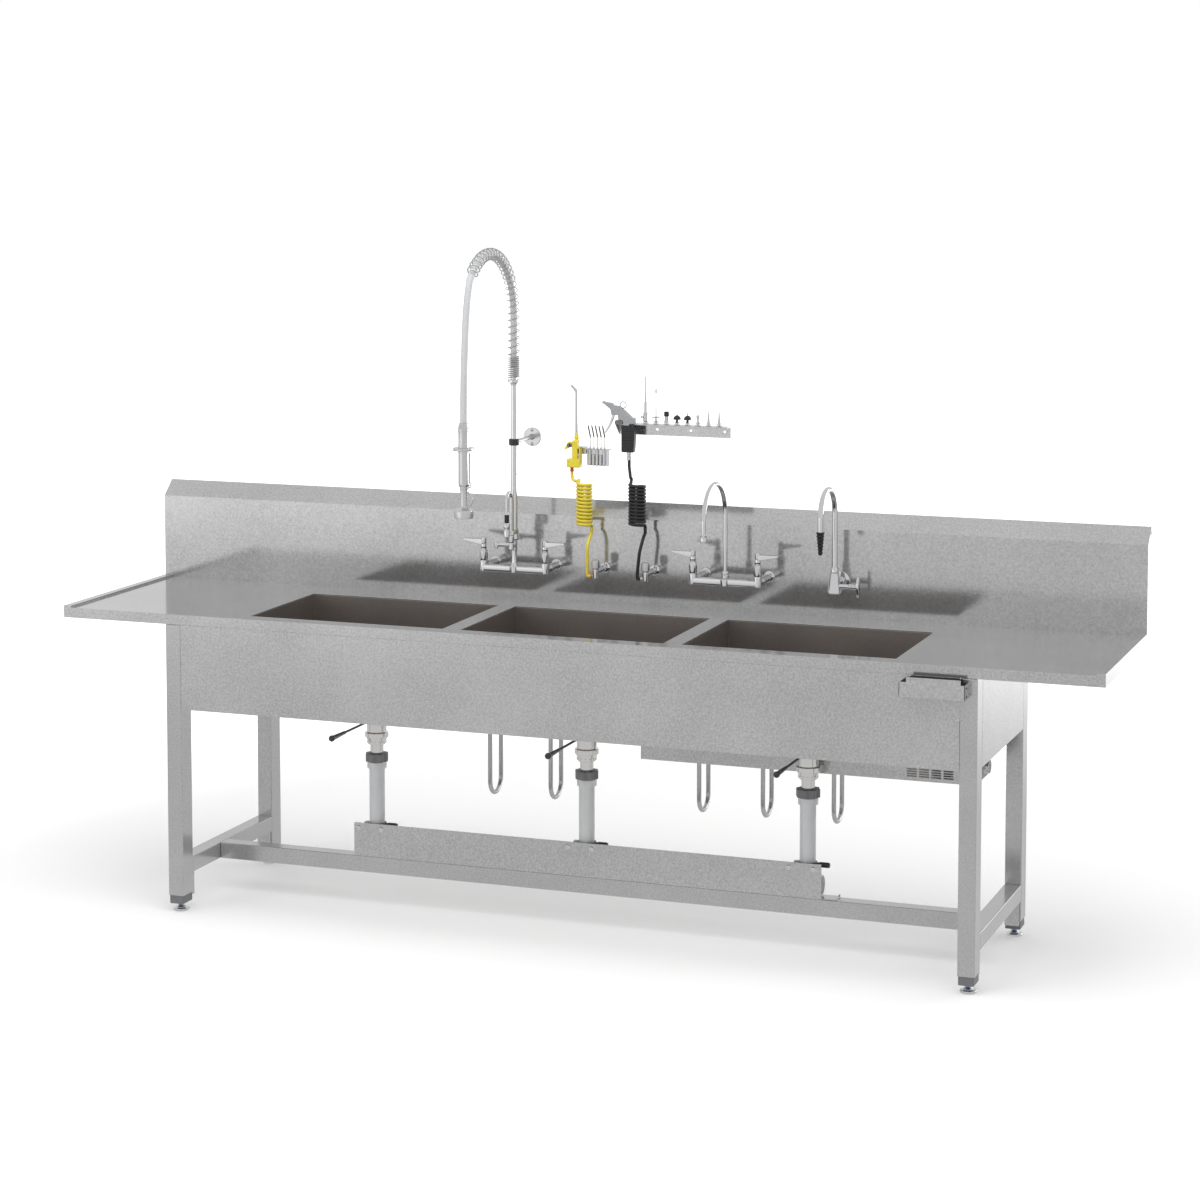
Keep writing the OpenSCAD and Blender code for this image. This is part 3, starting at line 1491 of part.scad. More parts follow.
module left_hose() {
    color("gold") {
        sweep(drop_points(left_valve_x, left_drop, left_coil_c, left_coil_r, left_coil_z0),
            coil_hose_r, hose_sides);
        sweep(rise_points(left_coil_c, left_coil_r, left_coil_z1, left_lead, left_rise, left_hose_top),
            coil_hose_r, hose_sides);
    }
}

// Right gun: a pistol with a hanging ring
module right_gun() {
    x0 = right_gun_x;
    z0 = right_gun_z;
    y0 = gun_y - right_gun_t / 2;
    y1 = gun_y + right_gun_t / 2;
    pin = [x0 + right_pin_share[0] * gun_l, z0 + right_pin_share[1] * gun_h];
    color("darkgray") {
        difference() {
            across_y(y0, y1) polygon([for (p = right_gun_shares) [x0 + p[0] * gun_l, z0 + p[1] * gun_h]]);
            block([x0, gun_y - right_trigger_t / 2 - cheek_gap, z0],
                [pin[0] + 2 * right_ear_r, gun_y + right_trigger_t / 2 + cheek_gap,
                    pin[1] + 2 * right_ear_r]);
        }
        translate([pin[0], gun_y - right_trigger_t / 2 - cheek_gap, pin[1]])
            along_y(right_pin_r, right_trigger_t + 2 * cheek_gap);
        translate([x0 + hang_ring_share[0] * gun_l, gun_y, z0 + hang_ring_share[1] * gun_h])
            rotate([90, 0, 0]) rotate_extrude() translate([hang_ring_r, 0]) circle(r = hang_wire_r);
    }
    color("black") across_y(y0, y1) polygon([for (p = grip_shares) [x0 + p[0] * gun_l, z0 + p[1] * gun_h]]);
    color("silver") translate([x0 + right_union_share * gun_l, gun_y, z0 - right_union_l])
        cylinder(r = right_union_r, h = right_union_l);
}
module right_trigger() {
    x0 = right_gun_x;
    z0 = right_gun_z;
    pin = [x0 + right_pin_share[0] * gun_l, z0 + right_pin_share[1] * gun_h];
    color("silver")
        difference() {
            across_y(gun_y - right_trigger_t / 2, gun_y + right_trigger_t / 2)
                polygon([for (p = right_trigger_shares) [x0 + p[0] * gun_l, z0 + p[1] * gun_h]]);
            translate([pin[0], gun_y - right_trigger_t, pin[1]])
                along_y(right_pin_r + pin_fit, 2 * right_trigger_t);
        }
}
right_coil_c = [right_coil_x, splash_y - right_coil_off];
right_lead = hose_d * unit([-2, 8, 5]);
right_hose_top = [right_gun_x + right_union_share * gun_l, gun_y, right_gun_z - right_union_l];
module right_coil() {
    points = coil_points(right_coil_c, right_coil_r, right_coil_z0, right_coil_z1, right_lead);
    echo(right_gap = turn_gap(points, coil_hose_r, coil_rings));
    color("black") sweep(points, coil_hose_r, coil_sides);
}
module right_hose() {
    color("black") {
        sweep(drop_points(right_valve_x, right_drop, right_coil_c, right_coil_r, right_coil_z0),
            coil_hose_r, hose_sides);
        sweep(rise_points(right_coil_c, right_coil_r, right_coil_z1, right_lead, right_rise, right_hose_top),
            coil_hose_r, hose_sides);
    }
}

// Rail for nozzles, the hook that holds the right gun, and the needle holder
module needle_holder() {
    y0 = wall_y - holder_d;
    holder_top = holder_z0 + holder_h;
    color("silver") {
        block([holder_x0, y0, holder_z0], [holder_x1, wall_y, holder_top]);
        block([holder_arm_x0, gun_y + gun_t / 2, holder_arm_z0],
            [holder_x0, wall_y, holder_arm_z0 + holder_arm_h]);
        for (k = [0 : needle_count - 1])
            translate([needle_x0 + k * needle_pitch, y0, holder_z0])
                cylinder(r = needle_tube_r, h = holder_h - (k % 2) * needle_tube_low);
        for (k = [0 : needle_count - 1])
            translate([needle_x0 + k * needle_pitch, y0 + needle_tube_r, holder_top])
                cylinder(r = needle_r, h = needle_straight);
    }
    color("sienna") for (k = [0 : needle_count - 1])
        translate([needle_x0 + k * needle_pitch, y0 + needle_tube_r, holder_top + needle_straight])
            rotate([0, -needle_lean, 0]) cylinder(r = needle_tip_r, h = needle_tip_l);
}
module tool_rail() {
    low_z = tool_rail_z - tool_rail_h;
    color("silver") {
        difference() {
            block([rail_x0, wall_y - sheet, low_z], [rail_x1, wall_y, tool_rail_z]);
            for (k = [0 : rail_hole_count - 1])
                translate([rail_x0 + rail_hole_x0 + k * rail_hole_pitch, wall_y - sheet - cut,
                    tool_rail_z - rail_hole_drop])
                    along_y(rail_hole_r, sheet + 2 * cut);
        }
        block([rail_x0, wall_y - shelf_d, tool_rail_z - sheet], [rail_x1, wall_y - sheet, tool_rail_z]);
        across_x(rail_x0, rail_x0 + sheet)
            polygon([
                [wall_y - sheet, low_z], [wall_y - sheet, tool_rail_z - sheet],
                [wall_y - shelf_d, tool_rail_z - sheet]
            ]);
    }
    color("dimgray") block([hook_x0, wall_y - shelf_d - hook_out, tool_rail_z],
        [hook_x0 + hook_w, wall_y - hook_back, tool_rail_z + hook_h]);
    needle_holder();
}

// Nozzles: one tall with a side port, one needle, a skirted cap, two domes, a spool and cones
module tall_nozzle() {
    cylinder(r = tall_r, h = tall_h);
    translate([0, 0, tall_port_z]) along_x(tall_port_r, tall_port_l);
}
module needle_nozzle() {
    cylinder(r = needle_rod_r, h = needle_rod_h);
    translate([0, 0, disc_z]) cylinder(r = disc_r, h = disc_h);
}
module cap_nozzle() {
    cylinder(r = cap_r, h = cap_h + cap_skirt_h);
    cylinder(r = cap_skirt_r, h = cap_skirt_h);
}
module dome_nozzle() {
    cylinder(r = dome_stem_r, h = dome_stem_h);
    translate([0, 0, dome_stem_h])
        difference() {
            sphere(r = dome_cap_r);
            translate([0, 0, -dome_cap_r]) cylinder(r = dome_cap_r + cut, h = dome_cap_r);
        }
}
module spool_nozzle() {
    cylinder(r = spool_core_r, h = spool_core_h);
    for (z = [0, spool_core_h - spool_h]) translate([0, 0, z]) cylinder(r = spool_r, h = spool_h);
}
module cone_nozzle() {
    cylinder(r1 = cone_r, r2 = cone_tip_r, h = cone_h);
}
module rail_nozzles() {
    for (k = [0 : nozzle_count - 1])
        translate([nozzle_x0 + k * nozzle_pitch, nozzle_y, tool_rail_z]) {
            color("silver") cylinder(r = nozzle_foot_r, h = nozzle_foot_h);
            color(k > 1 && k < 5 ? "black" : "silver") translate([0, 0, nozzle_foot_h]) {
                if (k == 0) tall_nozzle();
                if (k == 1) needle_nozzle();
                if (k == 2) cap_nozzle();
                if (k == 3 || k == 4) dome_nozzle();
                if (k == 5) spool_nozzle();
                if (k > 5) cone_nozzle();
            }
        }
}

worktop();
backsplash();
skirt();
basin_left();
basin_middle();
basin_right();
leg_front_left();
leg_front_right();
leg_rear_left();
leg_rear_right();
foot_front_left();
foot_front_right();
foot_rear_left();
foot_rear_right();
base_rails();
manifold_cover();
manifold_pipe();
drain_body_left();
drain_body_middle();
drain_body_right();
slip_nuts();
drain_tubes();
drain_lever_left();
drain_lever_middle();
drain_lever_right();
stopper_left();
stopper_middle();
stopper_right();
utility_box();
supply_loops();
control_pod();
rinse_body();
rinse_handle_left();
rinse_handle_right();
riser();
wall_bracket();
add_on_spout();
riser_spring();
spray_hose();
spray_valve();
spray_lever();
double_body();
double_handle_left();
double_handle_right();
double_spout();
single_body();
single_handle();
single_spout();
hose_nozzle();
hose_valves();
left_gun();
left_trigger();
left_hose();
left_coil();
right_gun();
right_trigger();
right_hose();
right_coil();
tool_rail();
rail_nozzles();
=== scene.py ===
# %% [markdown]
# # A three-basin washing sink, dressed in Blender
#
# The CAD model gives this sink its sizes and its moving parts. This script gives it its looks:
# satin steel sheet, polished taps, a wound spring, coiled hoses and small turned fittings.
# Each step says what the real piece is and how it could be made, and then makes it.

# %% Load the frame
from math import cos, pi, radians, sin, tau

import bmesh
import bpy
from mathutils import Matrix, Vector


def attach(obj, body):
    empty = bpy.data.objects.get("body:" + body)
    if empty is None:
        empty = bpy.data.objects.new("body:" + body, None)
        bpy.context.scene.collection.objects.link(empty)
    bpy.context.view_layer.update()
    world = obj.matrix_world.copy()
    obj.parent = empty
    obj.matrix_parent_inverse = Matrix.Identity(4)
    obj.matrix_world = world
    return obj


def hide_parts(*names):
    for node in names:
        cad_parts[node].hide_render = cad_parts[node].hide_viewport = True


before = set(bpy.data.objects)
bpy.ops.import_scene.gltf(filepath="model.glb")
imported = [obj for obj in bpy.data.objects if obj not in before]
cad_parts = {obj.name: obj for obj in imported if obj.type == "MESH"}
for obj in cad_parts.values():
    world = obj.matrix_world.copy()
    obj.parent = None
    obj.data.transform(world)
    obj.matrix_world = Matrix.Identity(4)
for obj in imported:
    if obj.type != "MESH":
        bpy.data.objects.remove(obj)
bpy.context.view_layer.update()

scene = bpy.context.scene

# %% [markdown]
# ## Main lines of the sink
#
# A shop drawing of such a sink is in millimetres, so this script works in millimetres too, and a
# piece is scaled to metres when it is finished. These lines repeat the CAD model's planes: X runs
# along the sink, Y to the wall and Z up, from the floor below the middle.

# %% Planes and places in millimetres
MM = 0.001
FRONT_Y = -324.75
SPLASH_Y = 321.25
WALL_Y = 375.25
TOP_Z = 917
DECK_Z = 914
NOSING_Z = 886
DRAIN_Y = -46.75
BASIN_X = {"left": -678.5, "middle": 6, "right": 690.5}
SIDES = {"left": -1, "right": 1}
INLET_Z = 1028
HALF_PITCH = 101.6
RINSE = Vector((-331.4, 219.25, 0))
DOUBLE = Vector((357, 199.25, 0))
SINGLE = Vector((681, 255.25, 0))
SPRAY = Vector((-331.4, -179.75, 0))
GUN_Y = 325.25
GREY_X, GREY_Z = -79.6, 1388
GREY_W, GREY_H = 106, 158
FITTING_X = 0.815 * GREY_W

# %% [markdown]
# ## The camera
#
# The photograph was taken from the front right, from a little above the tall spring, with a long
# lens. Its upright edges stay parallel, as a view camera draws them. A large shift would do the
# same, but it would also push the sink out of the picture in every other view. So the camera
# looks down by five degrees and a small shift does the rest, which keeps each edge within a few
# pixels of its place.

# %% Make the camera
lens = bpy.data.cameras.new("photo_lens")
lens.sensor_width = 36
lens.lens = 88.47
lens.shift_y = -0.2
lens.clip_end = 100
camera = bpy.data.objects.new("photo_camera", lens)
camera.location = (3.0231, -8.1454, 2.4463)
camera.rotation_euler = (radians(90 - 4.921), 0, radians(20.172))
scene.collection.objects.link(camera)
scene.camera = camera

# %% [markdown]
# ## Grain that several finishes share
#
# No surface here is one flat colour. Rolled steel has a fine speckle that catches the light, and
# moulded plastic has faint pores. Both are the same idea at different sizes: a fine noise that
# moves the colour, the roughness and the normal a little, over a broad noise for handling marks.
# The idea is built once as a node group with named inputs, and each material sets its own values.

# %% Write nodes in short lines
def add_node(tree, kind, fed=(), **settings):
    """Adds a shader node. fed gives each input its value, or the socket that feeds it."""
    made = tree.nodes.new(f"ShaderNode{kind}")
    for name, value in settings.items():
        setattr(made, name, value)
    for key, source in dict(fed).items():
        if isinstance(source, bpy.types.NodeSocket):
            tree.links.new(source, made.inputs[key])
        else:
            made.inputs[key].default_value = source
    return made


# %% Build the shared grain group
CLOUD_SHARE = 0.35
BUMP_HEIGHT = 0.0004
SOCKETS = (
    ("INPUT", "Color", ("Light", "Dark")),
    ("INPUT", "Float", ("Roughness", "Spread", "Grain scale", "Cloud scale", "Depth")),
    ("OUTPUT", "Color", ("Colour",)),
    ("OUTPUT", "Float", ("Roughness",)),
    ("OUTPUT", "Vector", ("Normal",)),
)


def grain_group():
    """A node group: fine speckle over broad cloud, as colour, roughness and normal."""
    group = bpy.data.node_groups.new("surface_grain", "ShaderNodeTree")
    for way, kind, names in SOCKETS:
        for name in names:
            group.interface.new_socket(name=name, in_out=way, socket_type=f"NodeSocket{kind}")
    asked = group.nodes.new("NodeGroupInput").outputs
    given = group.nodes.new("NodeGroupOutput").inputs
    place = add_node(group, "TexCoord").outputs["Object"]
    fine = add_node(group, "TexNoise", {"Vector": place, "Scale": asked["Grain scale"],
                                        "Detail": 3}).outputs["Fac"]
    cloud = add_node(group, "TexNoise", {"Vector": place, "Scale": asked["Cloud scale"],
                                         "Detail": 4}).outputs["Fac"]
    part = add_node(group, "Math", {0: cloud, 1: CLOUD_SHARE}, operation="MULTIPLY")
    blend = add_node(group, "Math", {0: fine, 1: 1 - CLOUD_SHARE, 2: part.outputs[0]},
                     operation="MULTIPLY_ADD")
    share = add_node(group, "MapRange", {"Value": blend.outputs[0], "From Min": 0.3,
                                         "From Max": 0.7}).outputs["Result"]
    colour = add_node(group, "Mix", {"Factor": share, "A": asked["Dark"], "B": asked["Light"]},
                      data_type="RGBA")
    centred = add_node(group, "Math", {0: share, 1: 0.5}, operation="SUBTRACT")
    rough = add_node(group, "Math", {0: centred.outputs[0], 1: asked["Spread"],
                                     2: asked["Roughness"]}, operation="MULTIPLY_ADD")
    bump = add_node(group, "Bump", {"Height": fine, "Strength": asked["Depth"],
                                    "Distance": BUMP_HEIGHT})
    group.links.new(colour.outputs["Result"], given["Colour"])
    group.links.new(rough.outputs[0], given["Roughness"])
    group.links.new(bump.outputs["Normal"], given["Normal"])
    return group


surface_grain = grain_group()
print("group", surface_grain.name)

# %% [markdown]
# ## One way to write a finish
#
# A finish is a Principled shader fed by the grain group. What is the same all over the piece,
# such as how metallic it is, stays on the shader's own socket, where an exporter can read it.

# %% Make a finish from a few plain values
def finish(name, light, dark, roughness, metallic=0.0, spread=0.1, grain=900, cloud=40,
           depth=0.1, coat=0.0, clear=0.0):
    """A material: two colours that the grain mixes, and how rough, deep and glossy it is."""
    material = bpy.data.materials.new(name)
    material.use_nodes = True
    tree = material.node_tree
    shader = tree.nodes["Principled BSDF"].inputs
    for socket, value in (("Metallic", metallic), ("Coat Weight", coat), ("Coat Roughness", 0.15),
                          ("Transmission Weight", clear)):
        shader[socket].default_value = value
    grained = add_node(tree, "Group", {
        "Light": (*light, 1), "Dark": (*dark, 1), "Roughness": roughness, "Spread": spread,
        "Grain scale": grain, "Cloud scale": cloud, "Depth": depth}, node_tree=surface_grain)
    for made, socket in (("Colour", "Base Color"), ("Roughness", "Roughness"),
                         ("Normal", "Normal")):
        tree.links.new(grained.outputs[made], shader[socket])
    return material


# %% [markdown]
# ## The finishes of this sink
#
# The sheet is satin stainless: metallic, a mid grey and smooth enough to mirror the taps softly.
# The basins are the same steel, coloured a shade darker and warmer as painted shade and warm
# reflection in their hollows. Taps are chrome, which is lighter and far smoother. The rest is
# plastic, rubber and paint in the colours that the photograph shows.

# %% Metals
SATIN_SHEET = finish("satin_sheet", (0.59, 0.59, 0.59), (0.39, 0.39, 0.39), 0.115, metallic=0.76,
                     spread=0.05, grain=170, cloud=3, depth=0.04)
SATIN_TUBE = finish("satin_tube", (0.55, 0.55, 0.55), (0.41, 0.41, 0.41), 0.18, metallic=0.78,
                    spread=0.06, grain=200, cloud=4, depth=0.05)
# Painted shade and reflection: the basins' steel is coloured darker and warmer than the sheet, for
# the shade and warm reflections in their hollows.
SHADED_BASIN_STEEL = finish("basin_steel", (0.42, 0.38, 0.355), (0.32, 0.29, 0.27), 0.36, metallic=0.85,
                     grain=300, cloud=5)
CHROME = finish("polished_chrome", (0.72, 0.72, 0.73), (0.62, 0.62, 0.63), 0.07, metallic=1,
                spread=0.03, grain=300, cloud=25, depth=0.01)
NICKEL = finish("drain_nickel", (0.74, 0.73, 0.71), (0.66, 0.65, 0.63), 0.14, metallic=1,
                spread=0.05, grain=500, cloud=30, depth=0.03)
BRIGHT_STEEL = finish("bright_steel", (0.66, 0.66, 0.67), (0.57, 0.57, 0.58), 0.2, metallic=1,
                      spread=0.06, grain=700, cloud=20, depth=0.04)
SPRING_WIRE = finish("spring_wire", (0.6, 0.6, 0.6), (0.46, 0.46, 0.46), 0.22, metallic=1,
                     spread=0.08, grain=600, cloud=60, depth=0.03)
FOOT_STEEL = finish("foot_steel", (0.42, 0.47, 0.55), (0.34, 0.39, 0.47), 0.2, metallic=1,
                    spread=0.06, grain=700, depth=0.03)
GUN_GREY = finish("gun_grey", (0.42, 0.43, 0.44), (0.36, 0.37, 0.38), 0.38, metallic=0.6,
                  spread=0.08, cloud=30, depth=0.06)

# %% Plastics, rubbers and paint
BLACK_PLASTIC = finish("black_plastic", (0.018, 0.018, 0.02), (0.01, 0.01, 0.011), 0.38,
                       depth=0.08, coat=0.2)
MATT_BLACK = finish("matt_black", (0.006, 0.006, 0.007), (0.004, 0.004, 0.005), 0.85, spread=0.05,
                    depth=0.05)
BLACK_RUBBER = finish("black_rubber", (0.022, 0.022, 0.024), (0.012, 0.012, 0.013), 0.46,
                      spread=0.12, grain=1100, cloud=30)
DARK_RUBBER = finish("dark_rubber", (0.075, 0.06, 0.052), (0.04, 0.032, 0.03), 0.5, cloud=60,
                     depth=0.08)
NUT_GREY = finish("nut_grey", (0.17, 0.17, 0.175), (0.12, 0.12, 0.125), 0.42, depth=0.06)
CLAMP_GREY = finish("clamp_grey", (0.45, 0.45, 0.46), (0.36, 0.36, 0.37), 0.45, depth=0.06)
PIPE_WHITE = finish("pipe_white", (0.76, 0.76, 0.75), (0.68, 0.68, 0.67), 0.4, grain=800, cloud=20,
                    depth=0.04)
FROSTED_TUBE = finish("frosted_tube", (0.93, 0.94, 0.94), (0.84, 0.85, 0.86), 0.42, spread=0.14,
                      grain=260, cloud=18, depth=0.12, clear=0.55)
HOSE_GREY = finish("hose_grey", (0.56, 0.57, 0.58), (0.48, 0.49, 0.5), 0.3, spread=0.08, cloud=20,
                   depth=0.03, coat=0.3)
YELLOW_HOSE = finish("yellow_hose", (0.80, 0.66, 0.045), (0.66, 0.53, 0.03), 0.36, spread=0.08,
                     depth=0.04, coat=0.25)
YELLOW_BODY = finish("yellow_body", (0.82, 0.68, 0.04), (0.7, 0.57, 0.03), 0.34, grain=800,
                     depth=0.08, coat=0.3)
RED_FITTING = finish("red_fitting", (0.6, 0.085, 0.02), (0.45, 0.05, 0.012), 0.36, spread=0.08,
                     cloud=60, depth=0.05, coat=0.3)
BROWN_TIP = finish("brown_tip", (0.13, 0.095, 0.07), (0.08, 0.055, 0.04), 0.36, cloud=80,
                   depth=0.06)
print("finishes", len(bpy.data.materials))

# %% [markdown]
# ## From a bmesh to a finished piece
#
# Every new piece ends the same way: it is scaled to metres, shaded smooth, given its finishes and
# set to ride on the CAD body that carries it. No edge on a real fitting is perfectly sharp, so a
# bevel eases all of them. Normals weighted by face area keep the flat faces flat, so only the
# edge shines.

# %% Finish a bmesh as a piece
SHARP = radians(33)


def enter(made, body, stands_for):
    """Sets an object on the body that carries it, in place of its CAD nodes."""
    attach(made, body)
    if stands_for:
        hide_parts(*stands_for)
    return made


def piece(name, shape, body, coats, stands_for=(), soft=0.4):
    """Turns a bmesh in millimetres into a piece in metres that rides on a body."""
    bmesh.ops.scale(shape, vec=(MM, MM, MM), verts=shape.verts)
    mesh = bpy.data.meshes.new(name)
    shape.to_mesh(mesh)
    shape.free()
    mesh.shade_smooth()
    for one in coats:
        mesh.materials.append(one)
    made = bpy.data.objects.new(name, mesh)
    scene.collection.objects.link(made)
    eased_edges = made.modifiers.new("eased_edges", "BEVEL")
    eased_edges.width = soft * MM
    eased_edges.segments = 3
    eased_edges.limit_method = "ANGLE"
    eased_edges.angle_limit = SHARP
    eased_edges.use_clamp_overlap = False
    flat_faces = made.modifiers.new("flat_faces", "WEIGHTED_NORMAL")
    flat_faces.mode = "FACE_AREA"
    flat_faces.weight = 100
    return enter(made, body, stands_for)


# %% [markdown]
# ## The few shapes that most fittings are made of
#
# A tap, a drain or a foot is mostly lathe work: a profile spun about an axis. The rest is bar,
# plate and bent tube. Each of these is a short function on bmesh operators, so a fitting can be
# written as a list of sizes.

# %% Lathe work
def spin(shape, steps):
    """Spins all that a bmesh holds once about Z and welds the result."""
    bmesh.ops.spin(shape, geom=shape.verts[:] + shape.edges[:], cent=(0, 0, 0), axis=(0, 0, 1),
                   dvec=(0, 0, 0), angle=tau, steps=steps, use_merge=True)
    bmesh.ops.remove_doubles(shape, verts=shape.verts, dist=0.001)
    bmesh.ops.recalc_face_normals(shape, faces=shape.faces)
    return shape


def turned(profile, steps=48, closed=False):
    """Spins (radius, height) points about Z. closed joins the last point to the first."""
    shape = bmesh.new()
    points = [shape.verts.new((r, 0, z)) for r, z in profile]
    pairs = list(zip(points, points[1:]))
    if closed:
        pairs.append((points[-1], points[0]))
    for pair in pairs:
        shape.edges.new(pair)
    return spin(shape, steps)


def spun(rim, steps=48):
    """Spins a profile whose two ends are closed to the axis at their own heights."""
    return turned([(0, rim[0][1]), *rim, (0, rim[-1][1])], steps)


def rod(radius, low, high, steps=40):
    """A plain round bar between two heights."""
    return spun([(radius, low), (radius, high)], steps)


def sleeve(inner, outer, low, high, steps=48):
    """A round tube or ring between two heights."""
    return turned([(inner, low), (outer, low), (outer, high), (inner, high)], steps, closed=True)


def bowed(radius, height, low, steps, rings):
    """A domed button: a round cap whose top bows up by its height."""
    top = [(radius * cos(a), low + height * sin(a)) for a in
           (pi / 2 * k / rings for k in range(rings))]
    return turned([(0, low), *top, (0, low + height)], steps)


def nut(across, low, high):
    """A six-sided nut, measured across its flats, with its corners turned down."""
    r = across / 3 ** 0.5
    lip = (r - across / 2) * 0.8
    body = rod(r, low, high, 6)
    bmesh.ops.subdivide_edges(body, edges=[e for e in body.edges if e.calc_length() > r * 0.9],
                              cuts=1)
    for v in body.verts:
        if v.co.xy.length > across / 2 + 0.01:
            v.co.z += lip * 0.6 * (1 if v.co.z < (low + high) / 2 else -1)
    return body


def lobed(radius, swing, count, low, high, bore):
    """A grip ring whose rim waves in and out, around a bore."""
    shape = sleeve(bore, radius, low, high, count * 8)
    for v in shape.verts:
        flat = v.co.xy
        if flat.length > radius - 0.01:
            grow = 1 + swing / radius * cos(count * flat.angle_signed(Vector((1, 0))))
            v.co.x *= grow
            v.co.y *= grow
    return shape


# %% Bars, plates, rings and bent tubes
def slab(low, high, soft=0.0):
    """A bar between two corners. soft rounds all its edges by that much."""
    shape = bmesh.new()
    size = [b - a for a, b in zip(low, high)]
    middle = [(a + b) / 2 for a, b in zip(low, high)]
    bmesh.ops.create_cube(shape, size=1)
    bmesh.ops.scale(shape, vec=size, verts=shape.verts)
    bmesh.ops.translate(shape, vec=middle, verts=shape.verts)
    return softer(shape, soft)


def softer(shape, width):
    """Rounds the sharp edges of a bmesh by a width."""
    sharp = [e for e in shape.edges if len(e.link_faces) == 2 and e.calc_face_angle() > SHARP]
    if sharp and width:
        bmesh.ops.bevel(shape, geom=sharp, offset=width, offset_type="OFFSET", affect="EDGES",
                        segments=3, profile=0.5, material=-1, clamp_overlap=True)
    return shape


def plate(outline, low, high, soft=0.0):
    """An outline in X and Z, made thick along Y from low to high."""
    shape = bmesh.new()
    face = shape.faces.new([shape.verts.new((x, low, z)) for x, z in outline])
    out = bmesh.ops.extrude_face_region(shape, geom=[face])
    far = [v for v in out["geom"] if isinstance(v, bmesh.types.BMVert)]
    bmesh.ops.translate(shape, vec=(0, high - low, 0), verts=far)
    bmesh.ops.recalc_face_normals(shape, faces=shape.faces)
    return softer(shape, soft)


def hoop(radius, wire):
    """A ring of round wire about Z."""
    shape = bmesh.new()
    made = bmesh.ops.create_circle(shape, segments=16, radius=wire)
    bmesh.ops.rotate(shape, cent=(0, 0, 0), matrix=Matrix.Rotation(pi / 2, 3, "X"),
                     verts=made["verts"])
    bmesh.ops.translate(shape, vec=(radius, 0, 0), verts=made["verts"])
    return spin(shape, 40)


def bent_tube(points, radius, sides=28):
    """A round tube along points: its end ring is pulled on from each point to the next."""
    shape = bmesh.new()
    ring = bmesh.ops.create_circle(shape, cap_ends=True, segments=sides, radius=radius)["verts"]
    heading = Vector((0, 0, 1))
    rim = shape.edges[:]
    ways = [(b - a).normalized() for a, b in zip(points, points[1:])]
    tilts = [ways[0], *((a + b).normalized() for a, b in zip(ways, ways[1:])), ways[-1]]
    here = Vector((0, 0, 0))
    for spot, tilt in zip(points, tilts):
        if spot is not points[0]:
            out = bmesh.ops.extrude_edge_only(shape, edges=rim)["geom"]
            ring = [g for g in out if isinstance(g, bmesh.types.BMVert)]
            rim = [g for g in out if isinstance(g, bmesh.types.BMEdge)
                   and all(v in ring for v in g.verts)]
        bmesh.ops.translate(shape, vec=spot - here, verts=ring)
        bmesh.ops.rotate(shape, cent=spot, verts=ring,
                         matrix=heading.rotation_difference(tilt).to_matrix())
        here, heading = spot, tilt
    bmesh.ops.holes_fill(shape, edges=rim, sides=sides)
    bmesh.ops.recalc_face_normals(shape, faces=shape.faces)
    return shape


# %% Move, turn, colour and join them
def turn(shape, angle, axis):
    """Turns a shape about an axis through the origin, in degrees."""
    bmesh.ops.rotate(shape, cent=(0, 0, 0), matrix=Matrix.Rotation(radians(angle), 3, axis),
                     verts=shape.verts)
    return shape


def laid(shape, along):
    """Lays a shape that was made along Z down along X or Y."""
    return turn(shape, 90, "Y") if along == "X" else turn(shape, -90, "X")


def at(shape, x, y, z):
    """Moves a shape to its place."""
    bmesh.ops.translate(shape, vec=(x, y, z), verts=shape.verts)
    return shape


def tint(number, *shapes):
    """Gives shapes the piece's finish of that number and joins them."""
    for shape in shapes:
        for face in shape.faces:
            face.material_index = number
    return joined(*shapes)


def joined(*shapes):
    """Puts several shapes into one bmesh."""
    whole = bmesh.new()
    for shape in shapes:
        part = bpy.data.meshes.new("part")
        shape.to_mesh(part)
        shape.free()
        whole.from_mesh(part)
        bpy.data.meshes.remove(part)
    return whole


# %% [markdown]
# ## Smooth routes for hoses and wire
#
# A hose is a curve with a round bevel. The CAD model gives points along each route. A Catmull-Rom
# spline passes through all of them and turns smoothly between, so the hose bends as rubber does
# and still lies where its solid does.

# %% Draw a route as a round hose
def eased(points, per=6):
    """More points on a smooth line through the given ones."""
    found = []
    ends = [points[0] * 2 - points[1], *points, points[-1] * 2 - points[-2]]
    for a, b, c, d in zip(ends, ends[1:], ends[2:], ends[3:]):
        for k in range(per):
            t = k / per
            found.append(0.5 * (2 * b + (c - a) * t + (2 * a - 5 * b + 4 * c - d) * t ** 2
                                + (3 * b - a - 3 * c + d) * t ** 3))
    return [*found, points[-1]]


def hose(name, points, radius, coats, stands_for, sides=5):
    """A curve of one open spline with a round section, from points in millimetres."""
    line = bpy.data.curves.new(name, "CURVE")
    line.dimensions = "3D"
    line.bevel_depth = radius * MM
    line.bevel_resolution = sides
    line.use_fill_caps = True
    spline = line.splines.new("POLY")
    spline.points.add(len(points) - 1)
    for spot, p in zip(spline.points, points):
        spot.co = (p.x * MM, p.y * MM, p.z * MM, 1)
    spline.use_smooth = True
    line.materials.append(coats)
    made = bpy.data.objects.new(name, line)
    scene.collection.objects.link(made)
    return enter(made, "base", stands_for)


def length_of(points):
    """The length along a route, in metres."""
    return sum((b - a).length for a, b in zip(points, points[1:])) * MM


# %% [markdown]
# ## The spray hose
#
# A smooth grey hose leaves the riser, passes through the spring's arch and hangs down to the
# spray valve. Its route repeats the CAD model's: up, round the arch and down in a gentle curve.

